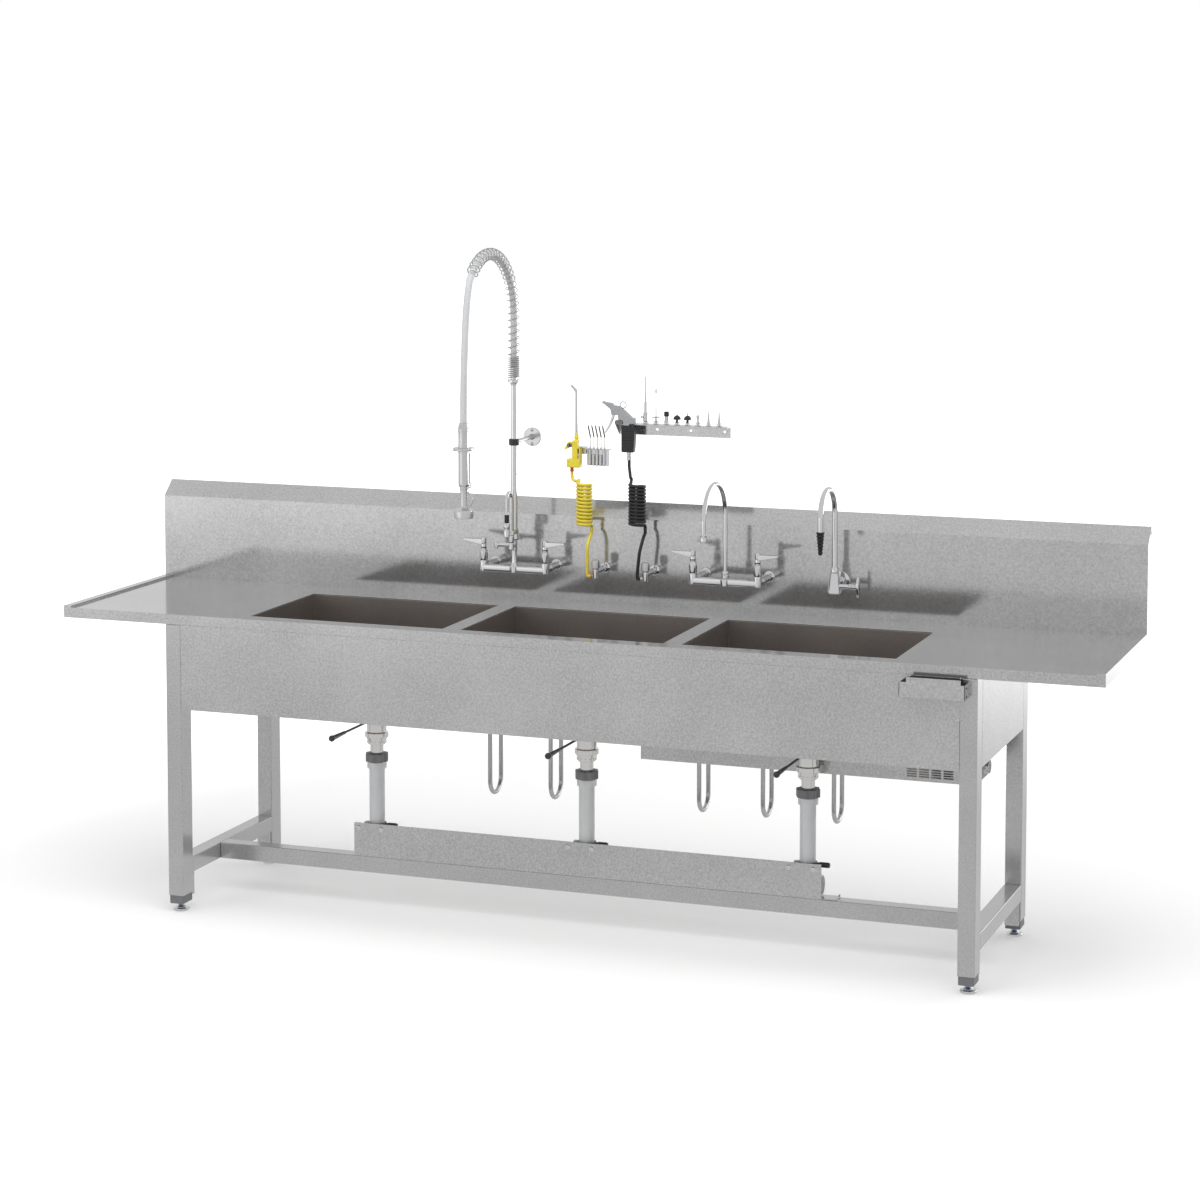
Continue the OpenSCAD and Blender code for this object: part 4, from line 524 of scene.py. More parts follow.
# %% Lay the spray hose
ARCH_R = 196
ARCH_Y = RINSE.y - ARCH_R
ARCH_Z = 1809
SPRING_END = 134
spray_down = [(196, 1930), (182, 1895), (171, 1850), (163, 1800), (157, 1745), (152, 1690),
              (148, 1630), (146, 1570), (145, 1538), (145, 1517)]
spray_route = [Vector((RINSE.x, RINSE.y, z)) for z in (1650, 1681, 1745)]
for k in range(13):
    a = radians(SPRING_END * k / 12)
    spray_route.append(Vector((RINSE.x, ARCH_Y + ARCH_R * cos(a), ARCH_Z + ARCH_R * sin(a))))
spray_route += [Vector((RINSE.x, FRONT_Y + y, z)) for y, z in spray_down]
spray_line = eased(spray_route, 4)
spray_hose = hose("spray_hose_tube", spray_line, 10.5, HOSE_GREY, ["spray_hose"], 7)
print("spray hose", round(length_of(spray_line), 3), "m")

# %% [markdown]
# ## The two coiled hoses
#
# Each gun hangs on a hose that is wound into a close coil, so that it stretches and springs back.
# Such a coil is moulded, so its turns keep their shape and touch each other. From the valve the
# hose goes up to the coil's foot, winds eleven and a half turns, and rises to the gun.

# %% Work out a coiled route
COIL_TURNS = 11.5
PER_TURN = 20
HOSE_R = 5
VALVE_Y = SPLASH_Y - 86
BARB_Z = INLET_Z - 15
BARB_X = 15.5


def coiled_route(valve_x, drop, centre, radius, low, high, lead, rise, top):
    """The whole line of a coiled hose, from its valve to its gun, in millimetres."""
    lead = Vector(lead).normalized() * 2 * HOSE_R
    foot = Vector((centre[0] + radius, centre[1] + 8, low - 6))
    head = Vector((centre[0] - radius, centre[1] + 8, high + 3))
    down = Vector((0, 0, -2 * HOSE_R))
    start = [Vector((valve_x - BARB_X - k * 2 * HOSE_R, VALVE_Y, BARB_Z)) for k in (0, 1)]
    start += [Vector((x, SPLASH_Y - y, z)) for x, y, z in drop]
    start += [foot + down * 2, foot + down, foot]
    turns = []
    count = round(COIL_TURNS * PER_TURN)
    for k in range(count + 1):
        a = tau * k / PER_TURN
        turns.append(Vector((centre[0] + radius * cos(a), centre[1] - radius * sin(a),
                             low + (high - low) * k / count)))
    end = [head, head + lead, head + 2 * lead]
    end += [Vector((x, SPLASH_Y - y, z)) for x, y, z in rise]
    end += [Vector(top) + down, Vector(top)]
    entry = eased([*start, turns[0], turns[1]], 5)[:-6]
    leave = eased([turns[-2], turns[-1], *end], 5)[6:]
    return [*entry, *turns, *leave]


# %% Wind the yellow hose and the black one
left_line = coiled_route(
    -70, [(-97, 86, 1024), (-97, 86, 1040), (-97, 86, 1065), (-97, 86, 1090), (-97, 80, 1112),
          (-97, 62, 1132)],
    (-118, SPLASH_Y - 56), 21, 1166, 1294, (-3, 9, 1),
    [(-150, 38, 1297), (-166, 16, 1296), (-177, 1, 1299)], (-181, GUN_Y, 1321))
right_line = coiled_route(
    92, [(65, 86, 1024), (66, 86, 1040), (69, 86, 1065), (72, 86, 1092), (75, 78, 1114),
         (77, 62, 1138)],
    (54, SPLASH_Y - 56), 23, 1174, 1297, (-2, 8, 5),
    [(26, 38, 1316), (18, 22, 1332), (9, 2, 1344)], (GREY_X + FITTING_X, GUN_Y, 1363))
left_hose = hose("yellow_coiled_hose", left_line, HOSE_R, YELLOW_HOSE,
                 ["left_hose", "left_coil"])
right_hose = hose("black_coiled_hose", right_line, HOSE_R, BLACK_RUBBER,
                  ["right_hose", "right_coil"])
print("coiled hoses", round(length_of(left_line), 3), round(length_of(right_line), 3), "m")

# %% [markdown]
# ## The riser's spring
#
# Eleven turns lie close at the foot and twenty-eight open turns carry the hose round the arch.
# The spring is one wire, so it is one curve whose axis runs up the riser and round the arch.

# %% Wind the spring
SPRING_R = 17.3
SPRING_Z = 1615.4
CLOSE_Z = 1681
CLOSE_TURNS = 11
OPEN_TURNS = 28
RISE = ARCH_Z - CLOSE_Z
RUN = RISE + ARCH_R * radians(SPRING_END)


def spring_point(axis, out, angle):
    """A point on the wire, from a point on the spring's axis and the way out of the bend."""
    return axis + SPRING_R * (cos(angle) * out + sin(angle) * Vector((-1, 0, 0)))


def spring_line():
    """The spring's wire, from its foot to its open end."""
    line = [Vector((RINSE.x, RINSE.y + SPRING_R, z)) for z in (1611, SPRING_Z)]
    back = Vector((0, 1, 0))
    for k in range(1, CLOSE_TURNS * PER_TURN + 1):
        z = SPRING_Z + (CLOSE_Z - SPRING_Z) * k / (CLOSE_TURNS * PER_TURN)
        line.append(spring_point(Vector((RINSE.x, RINSE.y, z)), back, tau * k / PER_TURN))
    for k in range(1, OPEN_TURNS * PER_TURN + 1):
        s = RUN * k / (OPEN_TURNS * PER_TURN)
        a = max(0, s - RISE) / ARCH_R
        axis = Vector((RINSE.x, ARCH_Y + ARCH_R * cos(a), ARCH_Z + ARCH_R * sin(a)))
        if s < RISE:
            axis = Vector((RINSE.x, RINSE.y, CLOSE_Z + s))
        line.append(spring_point(axis, Vector((0, cos(a), sin(a))), tau * k / PER_TURN))
    return line


hose("wound_spring", spring_line(), 1.7, SPRING_WIRE, ["riser_spring"], 3)

# %% [markdown]
# ## Folded sheet: worktop, splash, skirt, basins and box
#
# These are cut from stainless sheet, folded on a brake and welded, so the CAD solid already has
# their shape. A fold is never sharp, though. Each copy is welded, its flat triangles are joined
# into whole faces, and a small bevel draws the thin bright line that the photograph shows along
# every fold. Only the top rims of the basins keep their triangles, because a whole face there
# would go round a hole and could close it.

# %% Copy a CAD sheet with rounded folds
def cad_copy(node):
    """A welded copy of a CAD node, in millimetres."""
    shape = bmesh.new()
    shape.from_mesh(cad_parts[node].data)
    bmesh.ops.remove_doubles(shape, verts=shape.verts, dist=1e-6)
    bmesh.ops.scale(shape, vec=(1 / MM, 1 / MM, 1 / MM), verts=shape.verts)
    return shape


def whole_faces(shape, verts, edges):
    """Joins flat triangles to whole faces, where they lie on these verts and edges."""
    bmesh.ops.dissolve_limit(shape, angle_limit=radians(1), verts=verts, edges=edges)


def folded(node, coats, soft):
    """A copy of a CAD node whose edges are rounded by soft millimetres."""
    shape = cad_copy(node)
    rim = DECK_Z - 0.1 if node.startswith("basin") else TOP_Z + 999
    verts = [v for v in shape.verts if v.co.z < rim]
    edges = [e for e in shape.edges if min(v.co.z for v in e.verts) < rim]
    whole_faces(shape, verts, edges)
    for face in shape.faces:
        face.material_index = 0
    return piece(f"{node}_sheet", shape, "base", [coats], [node], soft)


SHEETS = {"worktop": 0.9, "backsplash": 1.2, "skirt": 0.9, "utility_box": 0.8}
for name, soft in SHEETS.items():
    folded(name, SATIN_SHEET, soft)
# The basins take the steel with painted shade and reflection in its colour.
for side in BASIN_X:
    folded(f"basin_{side}", SHADED_BASIN_STEEL, 1.5)

# %% [markdown]
# ## Louvre hoods on the utility box
#
# Sixteen slots let warm air out of the box. A press pushes a small hood out over each slot, which
# keeps splashes away and makes the field look darker than the plain sheet around it.

# %% Press the hoods
SLOT_X, SLOT_Y, SLOT_Z = 970, FRONT_Y + 332, 526.5
COLUMN_STEP, ROW_STEP = 36, 7
hoods = []
for column in range(4):
    for row in range(4):
        hood = turn(slab((0, -4.6, 0), (28, 0, 0.8)), 60, "X")
        hoods.append(at(hood, SLOT_X + COLUMN_STEP * column, SLOT_Y + 0.4,
                        SLOT_Z + ROW_STEP * row))
piece("louvre_hoods", joined(*hoods), "base", [SATIN_SHEET], soft=0.2)

# %% [markdown]
# ## Legs and lower rails
#
# The frame is welded from rectangular tube. Its corners have a radius of about three millimetres,
# which is what draws the bright upright lines down each leg. A plastic plug closes each leg and
# holds the threaded foot.

# %% Cut the legs and rails
LEG_X, LEG_W, LEG_D = 1225, 50, 65
LEG_Y = {"front": FRONT_Y, "rear": FRONT_Y + 603}
LEGS = [(row, side, sign * LEG_X, y) for row, y in LEG_Y.items() for side, sign in SIDES.items()]
RAIL_LOW, RAIL_TOP = 111, 161
RAIL_FRONT, RAIL_BACK = -80.75, -30.75
for row, side, x, y in LEGS:
    x0 = x - LEG_W / 2
    top = NOSING_Z - 0.3 if row == "front" else DECK_Z
    tube = slab((x0, y, 50), (x0 + LEG_W, y + LEG_D, top), 3)
    plug = tint(1, slab((x0 + 2.2, y + 2.2, 25), (x0 + 47.8, y + 62.8, 52), 3))
    piece(f"{row}_{side}_leg", joined(tube, plug), "base", [SATIN_TUBE, NUT_GREY],
          [f"leg_{row}_{side}"], 0.5)

rails = [slab((-1200, RAIL_FRONT, RAIL_LOW), (1200, RAIL_BACK, RAIL_TOP), 3)]
behind_leg = LEG_Y["front"] + LEG_D
for sign in SIDES.values():
    x0 = sign * LEG_X - LEG_W / 2
    rails.append(slab((x0, behind_leg, RAIL_LOW), (x0 + LEG_W, LEG_Y["rear"], RAIL_TOP), 3))
    for y in (behind_leg, LEG_Y["rear"] - 15):
        rails.append(slab((x0 + 4, y, 40), (x0 + 46, y + 15, RAIL_LOW), 1.5))
piece("lower_rails", joined(*rails), "base", [SATIN_TUBE], ["base_rails"], 0.5)

# %% [markdown]
# ## Levelling feet
#
# A foot is one turned piece: a broad disc, a waist and a threaded stem with a lock nut. The disc
# is polished and the stem has a bluish zinc coat.

# %% Turn the feet
for row, side, x, y in LEGS:
    disc = spun([(22, 0), (24, 2), (24, 6.4), (22.6, 8), (14.6, 8.8)])
    waist = spun([(14, 8.6), (13.6, 10.4), (11, 13.5), (9, 17.5), (8, 21), (8, 60)])
    threads = [at(hoop(7.9, 0.5), 0, 0, 26 + 2 * k) for k in range(6)]
    shape = joined(disc, tint(1, waist, nut(18.5, 19.5, 24.8)), tint(1, *threads))
    piece(f"{row}_{side}_foot", at(shape, x, y + LEG_D / 2, 0), f"foot_{row}_{side}",
          [BRIGHT_STEEL, FOOT_STEEL], [f"foot_{row}_{side}"], 0.4)

# %% [markdown]
# ## The manifold behind its cover
#
# One white plastic pipe collects the water of all three drains. A steel cover stands on the rail
# in front of it, held by domed screws with a small socket in each head.

# %% Fold the cover and turn its screws
COVER_X = 741
cover = [
    slab((-COVER_X, RAIL_FRONT, RAIL_TOP), (COVER_X, RAIL_FRONT + 3, 264)),
    slab((-COVER_X, -78, RAIL_TOP), (785, RAIL_BACK, 164)),
    plate([(785, 164), (785, 171), (778, 164)], -33.75, RAIL_BACK),
]
screws = []
for cx in BASIN_X.values():
    for sign in SIDES.values():
        head = spun([(2.4, 1.6), (2.6, 4.9), (4, 4.6), (6, 3.7), (7.6, 2.2), (8.5, 0)], 32)
        head = joined(head, rod(9.3, -1, 0.2, 32))
        screws.append(at(turn(head, 90, "X"), cx - 11 + sign * 37.5, -81.2, 248))
piece("manifold_screen", joined(*cover, tint(1, *screws)), "base", [SATIN_SHEET, CHROME],
      ["manifold_cover"], 0.8)

# %% Mould the manifold, its sockets and clamps
AXIS_Z = 194.3
PIPE_END = 735
pipe = [sleeve(26.5, 30, -PIPE_END, PIPE_END), rod(29, -PIPE_END, -PIPE_END + 6)]
pipe = [at(laid(part, "X"), 0, DRAIN_Y, AXIS_Z) for part in pipe]
clamps, tabs = [], []
for cx in BASIN_X.values():
    socket = turned([(23.6, 206), (28, 206), (28, 236), (29, 237.5), (29, 248), (23.6, 248)],
                    closed=True)
    pipe.append(at(socket, cx, DRAIN_Y, 0))
    for shift in (-36, 36):
        pipe.append(at(laid(sleeve(29.6, 31, -5, 5), "X"), cx + shift, DRAIN_Y, AXIS_Z))
    clamps.append(at(turned([(23.6, 248), (28, 248), (29, 250), (29, 260), (27.6, 262),
                             (23.6, 262)], closed=True), cx, DRAIN_Y, 0))
    grip = turned([(0, 26), (6, 26), (6.4, 34), (8, 38), (8, 62), (6.6, 66.4), (0, 67)], 28)
    clamps.append(at(laid(grip, "X"), cx, DRAIN_Y, 255))
    tabs.append(at(slab((-41, -8, 248.5), (-27, 8, 261.5), 2), cx, DRAIN_Y, 0))
piece("manifold_run", joined(*pipe, tint(1, *clamps), tint(2, *tabs)), "base",
      [PIPE_WHITE, BLACK_PLASTIC, CLAMP_GREY], ["manifold_pipe"], 0.5)

# %% [markdown]
# ## Lever drains
#
# Each drain is polished brass or steel, turned in one piece: a flange in the basin, a throat, a
# cone, a broad ring and a tailpiece. A lever under the basin lifts the stopper through a pivot in
# a small boss. Below hangs a lobed plastic nut on a frosted tube that leads to the manifold.

# %% Turn the drains, their nuts and tubes
LEVER_Z, EYE_Y = 586, -42
for side, cx in BASIN_X.items():
    bowl = turned([(37, 655), (37, 664.6), (38.4, 666), (53.5, 666), (56, 664.6), (56, 663.05),
                   (43.5, 663.05), (43.5, 640), (42.4, 636.5), (33, 615), (30.6, 611.2),
                   (30, 608), (30, 545), (31.5, 543), (35, 543), (36, 542), (36, 529), (35, 527.5),
                   (32.6, 527.5), (26, 508), (26, 505.5), (20, 505.5), (20, 441.5), (19, 440),
                   (16.5, 440), (16.5, 527.5), (26, 527.5), (26, 655)], closed=True)
    lock = lobed(51, 1, 12, 648.2, 659.9, 43.5)
    scallop = at(lobed(29.2, 0.8, 14, 0, 7, 25.5), 0, 0, 509)
    boss = spun([(13, 22), (13, 28), (12, 29), (12, 32.6), (11, 33.5)])
    fork = [at(turn(boss, 90, "X"), 0, 0, LEVER_Z)]
    for sign in SIDES.values():
        a, b = sorted((sign * 4.4, sign * 9.4))
        fork.append(slab((a, EYE_Y - 8, LEVER_Z - 8), (b, -29, LEVER_Z + 8), 2.2))
        fork.append(at(laid(rod(5, 0, 1.2, 24), "X"), sign * 9.4 - 0.6, EYE_Y, LEVER_Z))
    spider = [sleeve(5.1, 9, 625, 632, 28)]
    for k in range(3):
        spider.append(turn(slab((8, -3, 625), (26.5, 3, 632), 0.8), 120 * k, "Z"))
    body = at(joined(bowl, lock, scallop, *fork, *spider), cx, DRAIN_Y, 0)
    piece(f"{side}_drain", body, "base", [NICKEL], [f"drain_body_{side}"], 0.5)

    plug = spun([(4, 611.3), (5, 612.5), (5, 655.3), (33, 655.3), (33.4, 656.2), (36, 656.6),
                 (36, 658.6), (34.6, 660.4), (30, 661.1), (12, 661.3), (8.4, 662.2), (6.2, 664.6),
                 (6.4, 667), (8, 669.4), (7.8, 671.4), (6, 672.3)])
    piece(f"{side}_stopper", at(plug, cx, DRAIN_Y, 0), f"stopper_{side}", [NICKEL],
          [f"stopper_{side}"], 0.3)

nuts, tubes = [], []
for cx in BASIN_X.values():
    nuts.append(at(joined(lobed(33.4, 3, 8, 453, 477, 20.1), sleeve(20.1, 29, 451, 454),
                          sleeve(20.1, 28, 476, 479)), cx, DRAIN_Y, 0))
    tubes.append(at(turned([(20.1, 222), (23.5, 222), (23.5, 430), (24.5, 431), (28.8, 431.4),
                            (29.5, 432.6), (29.5, 449.4), (28.6, 450.8), (20.1, 450.8)],
                           closed=True), cx, DRAIN_Y, 0))
piece("lobed_nuts", joined(*nuts), "base", [NUT_GREY], ["slip_nuts"], 0.6)
piece("frosted_tubes", joined(*tubes), "base", [FROSTED_TUBE], ["drain_tubes"],
      0.4)

# %% Forge the levers
BALL_R, BALL_Z = 9.5, 277
for side, cx in BASIN_X.items():
    eye = laid(sleeve(3.05, 8, -4, 4, 32), "X")
    neck = spun([(5.4, 6), (5, 12), (3.5, 20), (3.5, 187)], 24)
    grip = [(0, 186), (4.6, 186), (5, 187.5), (5.05, 190)]
    grip += [(5 + 2.3 * k / 8, 190 + 9.6 * k) for k in range(1, 9)]
    ball = [(BALL_R * sin(a), BALL_Z - BALL_R * cos(pi - a)) for a in
            (pi * k / 12 for k in range(8, -1, -1))]
    handle = turned([*grip, (7.3, 270.6), *ball], 32)
    shaft = turn(joined(neck, tint(1, handle)), 90, "X")
    shape = at(at(joined(eye, shaft), 0, EYE_Y, 0), cx, DRAIN_Y, LEVER_Z)
    piece(f"{side}_lever", shape, f"lever_{side}", [DARK_RUBBER, BLACK_PLASTIC],
          [f"drain_lever_{side}"], 0.3)

# %% [markdown]
# ## Supply tubes
#
# Every inlet of a tap reaches through the splash and is fed by a steel tube that drops behind the
# deck, turns in a broad U and comes up again. The tube is bent cold round a former.

# %% Bend the supply tubes
ELBOW_R, ELBOW_Y, ELBOW_Z = 18, 337.25, 1010
U_R, U_Y, U_Z = 45, 310.25, 342
inlets_x = [tap.x + sign * HALF_PITCH for tap in (RINSE, DOUBLE) for sign in SIDES.values()]
supplies = []
for x in (*inlets_x, SINGLE.x):
    line = [Vector((x, 339, INLET_Z)), Vector((x, ELBOW_Y, INLET_Z))]
    line += [Vector((x, ELBOW_Y + ELBOW_R * sin(pi / 2 * k / 8),
                     ELBOW_Z + ELBOW_R * cos(pi / 2 * k / 8))) for k in range(1, 9)]
    line += [Vector((x, U_Y + U_R * cos(pi * k / 24), U_Z - U_R * sin(pi * k / 24)))
             for k in range(25)]
    line.append(Vector((x, U_Y - U_R, DECK_Z - 0.5)))
    supplies.append(bent_tube(line, 7))
    supplies.append(at(turn(nut(24, 0, 10), -90, "X"), x, 330.25, INLET_Z))
    supplies.append(at(nut(22, 0, 12), x, U_Y - U_R, DECK_Z - 30))
    supplies.append(at(laid(rod(11, 0, 12), "Y"), x, 322, INLET_Z))
piece("supply_tubes", joined(*supplies), "base", [SATIN_TUBE], ["supply_loops"])

# %% [markdown]
# ## The control pod on the apron
#
# A dark box with the switches sits behind a bent steel guard on the front of the apron. Seen from
# the front only the guard shows, with a dark strip of the box along its stepped top.

# %% Fold the guard and mould the box
X0, X1 = 1038, 1224
POD_LOW, POD_STEP, POD_TOP = 831, 873, 887
POD_Y = FRONT_Y - 43
guard = plate([(X0, POD_LOW), (X1, POD_LOW), (X1, POD_STEP), (X1 - 12, POD_STEP),
               (X1 - 12, POD_TOP), (X0 + 21, POD_TOP), (X0 + 21, POD_STEP), (X0, POD_STEP)],
              POD_Y, POD_Y + 3)
cheeks = [slab((x, POD_Y, POD_LOW), (x + 3, FRONT_Y, POD_STEP)) for x in (X0, X1 - 3)]
pod_box = tint(1, slab((X0 + 3, POD_Y + 3, POD_LOW + 3), (X1 - 3, FRONT_Y, POD_STEP), 1.5),
               slab((X0 + 24, POD_Y + 3, POD_STEP - 1), (X1 - 15, FRONT_Y, POD_TOP - 3), 1.5))
pod_screws = [at(laid(bowed(3, 1.5, 0, 20, 4), "X"), X1, FRONT_Y - 21.5, z) for z in (839, 863)]
ports = [at(turn(sleeve(5.5, 8, 0, 3, 28), 180, "X"), x, POD_Y + 24,
            POD_LOW + 3) for x in (X0 + 50, X1 - 50)]
piece("pod_guard", joined(guard, *cheeks, pod_box, tint(1, *pod_screws, *ports)), "base",
      [SATIN_SHEET, MATT_BLACK], ["control_pod"], 0.8)

# %% [markdown]
# ## Tap bodies
#
# A tap is cast in brass, machined and chromed. Two valves sit on one bar, each with a shank that
# passes through the splash and is pulled tight by a nut against a round flange. The waist and the
# shoulders on each valve are where the casting meets the screwed-in valve head.

# %% Make the pieces that the taps share
VALVE_LOW = INLET_Z - 15
VALVE_TOP = INLET_Z + 54


def inlet(x, y):
    """A shank from a valve to the splash, with its nut and flange."""
    shank = laid(rod(11, 0, SPLASH_Y - y, 32), "Y")
    collar = laid(rod(13.4, 24, 37.5, 32), "Y")
    hex_nut = turn(nut(27, -36.5, -24.5), 90, "X")
    flange = turn(spun([(18, 0), (18, 2.6), (17, 4.4), (14.4, 6), (12.6, 7)]), 90, "X")
    return at(joined(shank, collar, hex_nut, at(flange, 0, SPLASH_Y - y, 0)), x, y, INLET_Z)


def valve(x, y):
    """An upright valve with its waist and head, and its inlet."""
    low, top = VALVE_LOW, VALVE_TOP
    body = spun([(10.6, low), (12.5, low + 2), (12.5, low + 29), (11.4, low + 31), (11.4, low + 36),
                 (12.5, low + 38), (12.5, top - 9), (11, top - 7), (10.2, top - 3), (9, top)])
    return joined(at(body, x, y, 0), inlet(x, y))


def bar(cx, y):
    """The bar between two valves, wider where it meets the spout."""
    plain = slab((cx - HALF_PITCH, y - 12, VALVE_LOW),
                 (cx + HALF_PITCH, y + 12, VALVE_LOW + 21.6), 4)
    hub = spun([(15, VALVE_LOW), (16.6, VALVE_LOW + 2), (16.6, VALVE_LOW + 20),
                (15, VALVE_LOW + 22)])
    return joined(plain, at(hub, cx, y, 0), valve(cx - HALF_PITCH, y), valve(cx + HALF_PITCH, y))


# %% Make the wrist handles
def wrist_handle(x, y, sign):
    """A hub, a dark ring and a broad blade that a wrist can push."""
    low = VALVE_TOP + 0.3
    hub = turned([(4.1, low), (8.5, low), (8.5, low + 14), (7.6, low + 16), (8.5, low + 18),
                  (8.5, low + 33.4), (7, low + 35), (0, low + 35)])
    ring = turned([(8.3, low + 3), (9, low + 3.4), (9, low + 6.2), (8.3, low + 6.6)], closed=True)
    button = bowed(5.4, 1.2, low + 35, 28, 4)
    blade = plate([(3, low + 13), (20, low + 15.4), (39.6, low + 19.8), (58, low + 23.6),
                   (64.4, low + 25), (66, low + 27), (66, low + 28.6), (64.6, low + 30),
                   (3, low + 30)], -8.5, 8.5, 2)
    if sign < 0:
        turn(blade, 180, "Z")
    return at(joined(hub, button, blade, tint(1, ring)), x, y, 0)


for tap, centre in (("rinse", RINSE), ("double", DOUBLE)):
    for side, sign in SIDES.items():
        node = f"{tap}_handle_{side}"
        shape = wrist_handle(centre.x + sign * HALF_PITCH, centre.y, sign)
        piece(f"{node}_blade", shape, node, [CHROME, BLACK_PLASTIC], [node])

# %% [markdown]
# ## The pre-rinse tap
#
# A column rises from the bar to a domed hub that carries the riser. On the way it gives off two
# side arms: one is a small outlet to the left, and the other carries a swivelling spout in front.

# %% Make the column, its arms and the riser
ARM_Z, TIP_X, POST_Y = 1097, 58, 23
trunk = spun([(12, 1034), (12, 1036), (10.5, 1040), (8.5, 1044), (8.5, 1082), (9.6, 1083),
              (9.6, 1111), (8.5, 1112), (8.9, 1113), (15, 1116.4), (16, 1118), (16, 1122.4),
              (13.6, 1128), (13.2, 1134)])
arm = laid(spun([(7, -TIP_X), (7, -16), (8, -14), (8, -9)], 36), "X")
tip = spun([(3.2, 1083.5), (4, 1084.5), (4, 1088.5), (7.6, 1089), (8.5, 1090.4), (8.5, 1104),
            (7.4, 1105.5)], 36)
link = laid(rod(7, 0, POST_Y, 36), "Y")
post = spun([(7.6, 1087), (9, 1088.6), (9, 1106), (7.8, 1107.6), (7.8, 1110), (9, 1112),
             (9, 1130.9)], 40)
column = [bar(RINSE.x, RINSE.y)]
for part, x, y, z in ((trunk, 0, 0, 0), (arm, 0, 0, ARM_Z), (tip, -TIP_X, 0, 0),
                      (link, 0, -POST_Y, ARM_Z), (post, 0, -POST_Y, 0)):
    column.append(at(part, RINSE.x + x, RINSE.y + y, z))
piece("pre_rinse_body", joined(*column), "base", [CHROME], ["rinse_body"])

riser = spun([(10.5, 1134), (10.5, 1594), (11.6, 1595.5), (11.6, 1599), (13, 1601.4), (20, 1602.4),
              (20, 1609.6), (18.8, 1611), (10.5, 1611), (10.5, 1650)])
riser = joined(riser, nut(25, 1134.2, 1147.8), sleeve(10.4, 12.4, 1148, 1151))
piece("riser_tube", at(riser, RINSE.x, RINSE.y, 0), "base", [CHROME], ["riser"])

# %% [markdown]
# ## The wall bracket
#
# The riser is tall, so a clamp holds it to the wall. The clamp is dark plastic, and a short arm
# joins it to a round flange with two screws.

# %% Make the bracket
CLAMP_Z = 1418
ring = turned([(10.6, CLAMP_Z - 10), (15, CLAMP_Z - 10), (16, CLAMP_Z - 8.5), (16, CLAMP_Z + 8.5),
               (15, CLAMP_Z + 10), (10.6, CLAMP_Z + 10)], closed=True)
lug = slab((-7, 10, CLAMP_Z - 8), (7, 26, CLAMP_Z + 8), 2)
clamp_screw = laid(bowed(3, 1.6, 0, 20, 4), "X")
arm = laid(spun([(6.5, 24), (6.5, 140), (9, 146), (9, 151)], 36), "Y")
flange = laid(spun([(28, 151), (29.5, 152.2), (29.5, 156)]), "Y")
heads = []
for z in (CLAMP_Z - 21.5, CLAMP_Z + 21.5):
    cup = turn(spun([(1.6, 0.6), (1.8, 2.2), (3.4, 1.6), (5.4, 0)], 24), 90, "X")
    heads.append(at(cup, 0, 151, z))
shape = joined(at(arm, 0, 0, CLAMP_Z), at(flange, 0, 0, CLAMP_Z), *heads, tint(1, ring, lug),
               at(clamp_screw, 7, 20, CLAMP_Z))
piece("riser_clamp", at(shape, RINSE.x, RINSE.y, 0), "base", [BRIGHT_STEEL, BLACK_PLASTIC],
      ["wall_bracket"])

# %% [markdown]
# ## Gooseneck spouts
#
# A spout is thin brass tube drawn round a former and chromed. It turns on a collar. One helper
# gives its centre line: up, half a circle forward and down.

# %% Draw the spouts
def gooseneck(low, arc_z, end_z, reach):
    """The centre line of a spout that starts at the origin's X and Y."""
    line = [Vector((0, 0, low))]
    line += [Vector((0, -reach / 2 + reach / 2 * cos(pi * k / 36),
                     arc_z + reach / 2 * sin(pi * k / 36))) for k in range(37)]
    return [*line, Vector((0, -reach, end_z))]


ADD_ON_REACH, DOUBLE_REACH, SINGLE_REACH = 38, 209, 157
small = bent_tube(gooseneck(1144, 1247, 1200, ADD_ON_REACH), 5)
hub = turned([(5.05, 1131.3), (8, 1131.3), (9, 1132.6), (9, 1142), (7.4, 1144.6), (5, 1145.3)],
             closed=True)
cap = rod(5.4, 1142.4, 1147, 36)
flare = spun([(6.8, 1200), (7, 1201.4), (5.1, 1208)], 36)
cuff = spun([(6.6, 1174.6), (7, 1176), (7, 1199.6), (6.4, 1201)], 36)
stepped = turned([(6.4, 1131), (8.6, 1131), (9.5, 1132.2), (9.5, 1150), (8.2, 1152), (8.2, 1158),
                  (9.5, 1160), (9.5, 1170), (7.2, 1174.8), (6.4, 1174.8)], closed=True)
screen = rod(6.5, 1133, 1134, 36)
end = [at(part, 0, -ADD_ON_REACH, 0) for part in (flare, stepped, tint(1, cuff, screen))]
shape = at(joined(small, hub, cap, *end), RINSE.x, RINSE.y - POST_Y, 0)
piece("add_on_gooseneck", shape, "add_on_spout", [CHROME, BLACK_RUBBER],
      ["add_on_spout"], 0.3)

